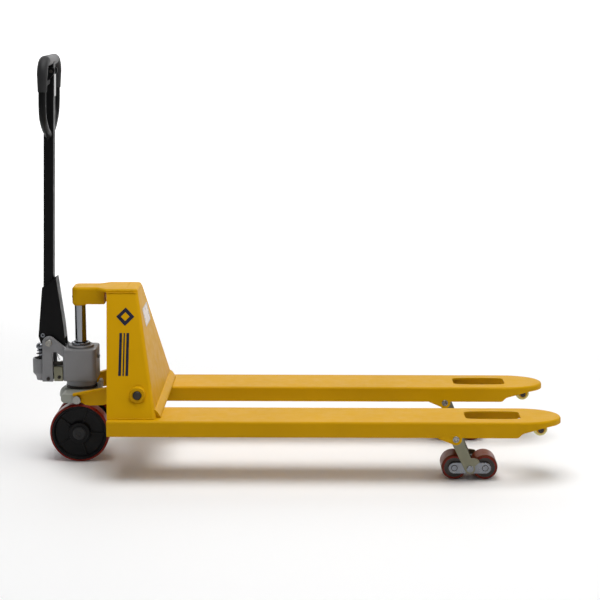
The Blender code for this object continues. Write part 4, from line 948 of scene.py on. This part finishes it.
# ---------------------------------------------------------------- legs, rods, bogies, rollers
for s, k in SIDES:
    yc = k * FORK_Y
    leg = rod("t", 15.0, "Y", yc - 71.0, yc + 71.0, LEG[0], LEG[1], 72, 1.0)
    for d in (-1, 1):
        y0, y1 = sorted((yc + d * 42.5, yc + d * 50.0))
        side = plate("t", hull2(LEG, 17.6, LINK, 15.5, 16), "Y", y0, y1, 1.3)
        hook = smooth_path([(LINK[0] - 3, 50.0), (LINK[0] - 1.0, 66.0), (LINK[0] + 5.0, 68.5), (LINK[0] + 19.0, 66.6), (LINK[0] + 24.0, 64.0), (LINK[0] + 27.0, 57.0), (LINK[0] + 19.0, 49.0), (LINK[0] + 11.0, 42.0)], 4)
        join(side, "UNION", plate("t", hook, "Y", y0 + 0.5, y1 - 0.5, 1.0))
        join(leg, "UNION", side)
        y0, y1 = sorted((yc + d * 7.0, yc + d * 12.0))
        join(leg, "UNION", plate("t", hull2(LEG, 11.7, LUG_W, 7.5, 12), "Y", y0, y1, 0.8))
    join(leg, "UNION", rod("t", 4.5, "Y", yc - 11.0, yc + 11.0, LUG_W[0], LUG_W[1], 40))
    join(leg, "DIFFERENCE", rod("t", 9.9, "Y", yc - 90, yc + 90, LEG[0], LEG[1]))
    for d in (-1, 1):
        y0, y1 = sorted((yc + d * 41.0, yc + d * 60.0))
        join(leg, "DIFFERENCE", rod("t", 10.4, "Y", y0, y1, LINK[0], LINK[1]))
    done(leg, "v_leg_" + s, "zinc", "leg_" + s, "leg_" + s)

    rx0, rz0 = lx, lz - 5.05
    bar = plate("t", hull2((rx0, rz0), 5.4, (LUG_W[0] - 1.0, LUG_W[1]), 5.4, 12), "Y", yc - 6.0, yc + 6.0, 1.0)
    join(bar, "UNION", rod("t", 7.3, "Y", yc - 5.5, yc + 5.5, LUG_W[0], LUG_W[1], 64, 0.8))
    join(bar, "UNION", plate("t", rounded(rx0 - 10.5, rx0 + 10.5, rz0 - 15.5, rz0 + 15.5, 8.0), "Y", yc - 5.5, yc + 5.5, 1.0))
    join(bar, "DIFFERENCE", plate("t", rounded(rx0 - 6.2, rx0 + 6.2, rz0 - 11.0, rz0 + 11.0, 5.0), "Y", yc - 20, yc + 20))
    join(bar, "DIFFERENCE", rod("t", 4.9, "Y", yc - 20, yc + 20, LUG_W[0], LUG_W[1]))
    done(bar, "v_push_rod_" + s, "dark", "push_rod_" + s, "push_rod_" + s)

    a, b = (LINK[0] - ROLLER_SPREAD, LINK[1]), (LINK[0] + ROLLER_SPREAD, LINK[1])
    bogie = rod("t", 6.5, "Y", yc - 40.0, yc + 40.0, LINK[0], LINK[1], 48)
    for d in (-1, 1):
        y0, y1 = sorted((yc + d * 36.5, yc + d * 41.8))
        join(bogie, "UNION", plate("t", hull2(a, 16.5, b, 16.5, 14), "Y", y0, y1, 1.1))
        y0, y1 = sorted((yc + d * 38.0, yc + d * 52.5))
        join(bogie, "UNION", turned("t", [(0, y1 - y0), (3.5, y1 - y0), (4.5, y1 - y0), (9.0, y1 - y0), (10.0, y1 - y0 - 1), (10.0, 1.0), (9.0, 0), (0, 0)], "Y", (LINK[0], y0, LINK[1]), 64, fillet=0))
    for c in (a, b):
        join(bogie, "UNION", rod("t", 8.0, "Y", yc - 42.25, yc + 42.25, c[0], c[1], 64, 0.4))
    for c in (a, b):
        for d in (-1, 1):
            y0 = yc + 40.4 if d > 0 else yc - 50.0
            ring = turned("t", [(9.7, 0.0), (9.7, 9.6), (7.3, 9.6), (7.3, 0.0)], "Y", (c[0], y0, c[1]), 64, fillet=0)
            join(bogie, "DIFFERENCE", ring)
    done(bogie, "v_bogie_" + s, "steel", "bogie_" + s, "bogie_" + s)
    seats = [turned("t", [(9.3, 0.0), (9.3, 1.3), (7.7, 1.3), (7.7, 0.0)], "Y", (c[0], y, c[1]), 64, fillet=0) for c in (a, b) for y in (yc - 41.7, yc + 40.4)]
    done(merged(*seats), "v_bogie_axle_seats_" + s, "dark", "bogie_" + s)
    for w, c in (("rear", a), ("front", b)):
        nm = f"load_roller_{s}_{w}"
        done(turned("t", [(28.9, 34.0), (28.9, -34.0), (24.0, -34.0), (23.0, -33.0), (14.0, -33.0), (13.2, -34.2), (8.4, -34.2), (8.4, 34.2), (13.2, 34.2), (14.0, 33.0), (23.0, 33.0), (24.0, 34.0)], "Y", (c[0], yc, c[1]), fillet=0.4), "v_" + nm + "_core", "rcore", nm, nm + "_core")
        done(turned("t", [(ROLLER_R, 30.0), (ROLLER_R, -30.0), (36.2, -32.6), (33.5, -35.0), (29.0, -35.0), (29.0, 35.0), (33.5, 35.0), (36.2, 32.6)], "Y", (c[0], yc, c[1]), 128, fillet=0.7), "v_" + nm + "_tread", "tread", nm, nm + "_tread")
        for d in (-1, 1):
            done(turned("t", [(33.2, 34.7 * d), (33.2, 35.25 * d), (29.4, 35.25 * d), (29.4, 34.7 * d)], "Y", (c[0], yc, c[1]), fillet=0.1), f"v_{nm}_face_{'out' if d * k > 0 else 'in'}", "tyre", nm)

    done(turned("t", [(21.0, 41.0), (21.0, -41.0), (20.3, -43.0), (18.5, -44.0), (8.5, -44.0), (7.6, -42.6), (5.3, -42.6), (5.3, 42.6), (7.6, 42.6), (8.5, 44.0), (18.5, 44.0), (20.3, 43.0)], "Y", (ENTRY[0], yc, ENTRY[1]), 96, fillet=0.5), "v_entry_roller_" + s, "nylon", "entry_roller_" + s, "entry_roller_" + s)
    ax = turned("t", [(0, 60.0), (8.0, 60.0), (8.5, 59.5), (8.5, 55.3), (5.0, 55.3), (5.0, -55.3), (8.5, -55.3), (8.5, -59.5), (8.0, -60.0), (0, -60.0)], "Y", (ENTRY[0], yc, ENTRY[1]), 64, fillet=0.3)
    for d in (-1, 1):
        y0, y1 = sorted((yc + d * 57.0, yc + d * 63.0))
        join(ax, "DIFFERENCE", rod("t", 4.2, "Y", y0, y1, ENTRY[0], ENTRY[1], 6))
    done(ax, "v_entry_axle_" + s, "rcore", "root", "entry_axle_" + s)

# ---------------------------------------------------------------- handle, in its own axes
t = box("t", (TUBE_X - 15, TUBE_X + 15), (-18, 18), (28, 845), 4.0, 5)
join(t, "DIFFERENCE", box("t", (TUBE_X - 12, TUBE_X + 12), (-15, 15), (0, 836)))
join(t, "DIFFERENCE", rod("t", 4.3, "Y", -40, 40, LEVER[0], LEVER[2]))
done(t, "v_handle_tube", "black", "handle", "handle_tube", on_handle=True)
g = plate("t", [(-24, 166), (-34.5, 15.4), (-28, -4), (-16, -11), (0, -14), (44, -13.7), (47.7, -9.5), (41.3, 49.7), (18, 198.6)], "Y", -26, 26, 3.0, 4)
join(g, "DIFFERENCE", plate("t", [(-60, 230), (-60, -40), (44.0, -40), (37.3, 49.7), (13.2, 230)], "Y", -22, 22))
join(g, "DIFFERENCE", rod("t", 11.0, "Y", -40, 40, 0, 0))
join(g, "DIFFERENCE", box("t", (-60, 60), (-21.99, 21.99), (-40, 12)))
join(g, "DIFFERENCE", rod("t", 4.4, "Y", -40, 40, -19.0, 1.0))
done(g, "v_handle_gusset", "black", "handle", "handle_gusset", on_handle=True)
for s, k in SIDES:
    done(cap_screw("t", 6.5, "Y", k * 24.0, k * 29.0, -20.5, 20.0), "v_gusset_bolt_" + s, "steel", "handle", on_handle=True)
done(rod("t", 4.1, "Y", -27.0, 27.0, -19.0, 1.0, 48, 0.6), "v_cam_pin", "steel", "handle", "cam_pin", on_handle=True)
done(turned("t", [(7.4, 9.0), (7.4, -9.0), (4.5, -9.0), (4.5, 9.0)], "Y", (-19.0, 0, 1.0), 64), "v_cam_roller", "steel", "handle", "cam_roller", on_handle=True)
# web between the tube's faces and the loop's feet
web = plate("t", [(-17.5, 606.0), (-17.5, 640.0), (-44.0, 659.0), (-60.0, 662.0), (-62.0, 650.0)], "X", TUBE_X - 3.0, TUBE_X + 3.0, 1.0)
web2 = plate("t", [(17.5, 606.0), (17.5, 640.0), (44.0, 659.0), (60.0, 662.0), (62.0, 650.0)], "X", TUBE_X - 3.0, TUBE_X + 3.0, 1.0)
done(merged(web, web2), "v_handle_webs", "black", "handle", on_handle=True)


def loop_path(lo, r=42.0):
    low = smooth_path([(-16.0, 626.5), (-42.0, 638.5), (-66.0, 650.0), (-98.0, 674.0), (-112.0, 696.0), (-118.0, 724.0), (-118.0, 760.0)], 6)
    top = arc(-118 + r, 847 - r, r, 180, 90, 8)
    pts = [p for p in low if p[1] >= lo] + top
    if lo > 760:
        pts = [(-118.0, lo)] + [(-118.0, lo + 3.0), (-118.0, lo + 8.0)] + top
    return [(TUBE_X, y, z) for y, z in pts] + [(TUBE_X, 0, 847.0)] + [(TUBE_X, -y, z) for y, z in reversed(pts)]


loop = tube("t", loop_path(0), 11.0, 40)
join(loop, "DIFFERENCE", box("t", (TUBE_X - 15.3, TUBE_X + 15.3), (-18.3, 18.3), (600, 845.3)))
done(loop, "v_handle_loop", "black", "handle", "handle_loop", on_handle=True)
path = loop_path(756.0)


def grip_piece(keep):
    """The part of the moulded cover whose path lies in keep(y), hollow for the loop's tube."""
    idx = [i for i, q in enumerate(path) if keep(q[1])]
    seg = [path[i] for i in idx]
    radii = [15.6] * len(seg)
    if idx[0] == 0:
        radii[0], radii[1] = 13.2, 15.0
    if idx[-1] == len(path) - 1:
        radii[-1], radii[-2] = 13.2, 15.0
    g = tube("t", seg, radii, 48)
    join(g, "DIFFERENCE", tube("t", loop_path(0), 11.35, 32))
    join(g, "DIFFERENCE", box("t", (TUBE_X - 15.3, TUBE_X + 15.3), (-18.3, 18.3), (600, 845.3)))
    return g


edge = 72.0
path = [q for q in path if abs(abs(q[1]) - edge) > 2.0]
mark = max(i for i, q in enumerate(path) if q[1] < -edge) + 1
path = path[:mark] + [(TUBE_X, -edge, 847.0)] + path[mark:]
mark = min(i for i, q in enumerate(path) if q[1] > edge)
path = path[:mark] + [(TUBE_X, edge, 847.0)] + path[mark:]
done(grip_piece(lambda y: y <= -edge), "v_grip_right", "grip", "handle", "grip_cover", on_handle=True)
done(grip_piece(lambda y: y >= edge), "v_grip_left", "grip", "handle", on_handle=True)
# the top bar takes the lighter grey that paints the light on it (painted highlight)
done(grip_piece(lambda y: abs(y) <= edge), "v_grip_crown", "crown", "handle", on_handle=True)
done(box("t", (TUBE_X + 15.2, TUBE_X + 17.0), (-13, 13), (741, 806), 0.7), "v_front_strip", "strip", "handle", "front_strip", on_handle=True)

lv = plate("t", smooth_path([(-30, 822), (6, 826), (13, 822), (13.5, 814), (10, 806), (-8, 786), (-22, 782), (-31, 788), (-35, 799), (-36, 812), (-33, 820), (-30, 822)], 4)[:-1], "Y", -26.0, 26.0, 1.5)
join(lv, "DIFFERENCE", box("t", (-24.0, 60), (-18.6, 18.6), (700, 900)))
join(lv, "DIFFERENCE", rod("t", 4.3, "Y", -40, 40, LEVER[0], LEVER[2]))
done(lv, "v_control_lever", "black", "control_lever", "control_lever", on_handle=True)
fin = merged(plate("t", [(-14, 787.5), (0, 790.5), (-2, 778), (-11, 771)], "Y", -25.6, -19.0, 1.2), plate("t", [(-14, 787.5), (0, 790.5), (-2, 778), (-11, 771)], "Y", 19.0, 25.6, 1.2))
# the fingers take the same lighter grey as the grip's painted-highlight top bar
done(fin, "v_lever_fingers", "crown", "control_lever", on_handle=True)
done(turned("t", [(0, 28.5), (4.4, 28.5), (4.9, 28.0), (4.9, 26.4), (4.0, 26.4), (4.0, -26.4), (4.9, -26.4), (4.9, -28.0), (4.4, -28.5), (0, -28.5)], "Y", (LEVER[0], 0, LEVER[2]), 64, fillet=0.2), "v_lever_pin", "dark", "handle", "lever_pin", on_handle=True)

# ---------------------------------------------------------------- floor, background and light
def plain(name, colour, rough=0.6):
    m = bpy.data.materials.new(name)
    m.use_nodes = True
    p = m.node_tree.nodes["Principled BSDF"]
    p.inputs["Base Color"].default_value = (*colour, 1)
    p.inputs["Roughness"].default_value = rough
    p.inputs["Specular IOR Level"].default_value = 0.2
    return m


bm = bmesh.new()
prof = [(-9.0, 0.0), (4.0, 0.0)] + [(4.0 + 2.5 * math.sin(a), 2.5 - 2.5 * math.cos(a)) for a in [math.radians(10 * i) for i in range(1, 10)]] + [(6.5, 9.0)]
cols = [[bm.verts.new((x, y, z)) for y, z in prof] for x in (-12.0, 12.0)]
for i in range(len(prof) - 1):
    bm.faces.new((cols[0][i], cols[1][i], cols[1][i + 1], cols[0][i + 1]))
floor = from_bm("floor", bm)
floor.data.shade_smooth()
pale = plain("floor_pale", srgb(248, 248, 248))
nt = pale.node_tree
tc = nt.nodes.new("ShaderNodeTexCoord")
sep = nt.nodes.new("ShaderNodeSeparateXYZ")
glow = nt.nodes.new("ShaderNodeMapRange")
glow.interpolation_type = "SMOOTHSTEP"
for key, value in (("From Min", 0.6), ("From Max", 5.2), ("To Min", 0.0), ("To Max", 0.78)):
    glow.inputs[key].default_value = value
nt.links.new(tc.outputs["Object"], sep.inputs["Vector"])
nt.links.new(sep.outputs["Y"], glow.inputs["Value"])
shader = nt.nodes["Principled BSDF"]
shader.inputs["Emission Color"].default_value = (1, 1, 1, 1)
nt.links.new(glow.outputs["Result"], shader.inputs["Emission Strength"])
floor.data.materials.append(pale)

world = bpy.data.worlds.new("studio")
scene.world = world
world.use_nodes = True
world.node_tree.nodes["Background"].inputs["Color"].default_value = (1, 1, 1, 1)
world.node_tree.nodes["Background"].inputs["Strength"].default_value = 0.16


def area(name, at, to, size, power, colour=(1, 1, 1)):
    d = bpy.data.lights.new(name, "AREA")
    d.energy = power
    d.size = size
    d.color = colour
    o = bpy.data.objects.new(name, d)
    scene.collection.objects.link(o)
    o.location = at
    o.rotation_euler = (Vector(to) - Vector(at)).to_track_quat("-Z", "Y").to_euler()
    return o


area("key", (0.2, -0.5, 4.6), (0, 0, 0.2), 3.2, 180)
area("side", (4.0, -0.4, 2.2), (-0.3, 0, 0.3), 1.8, 22)
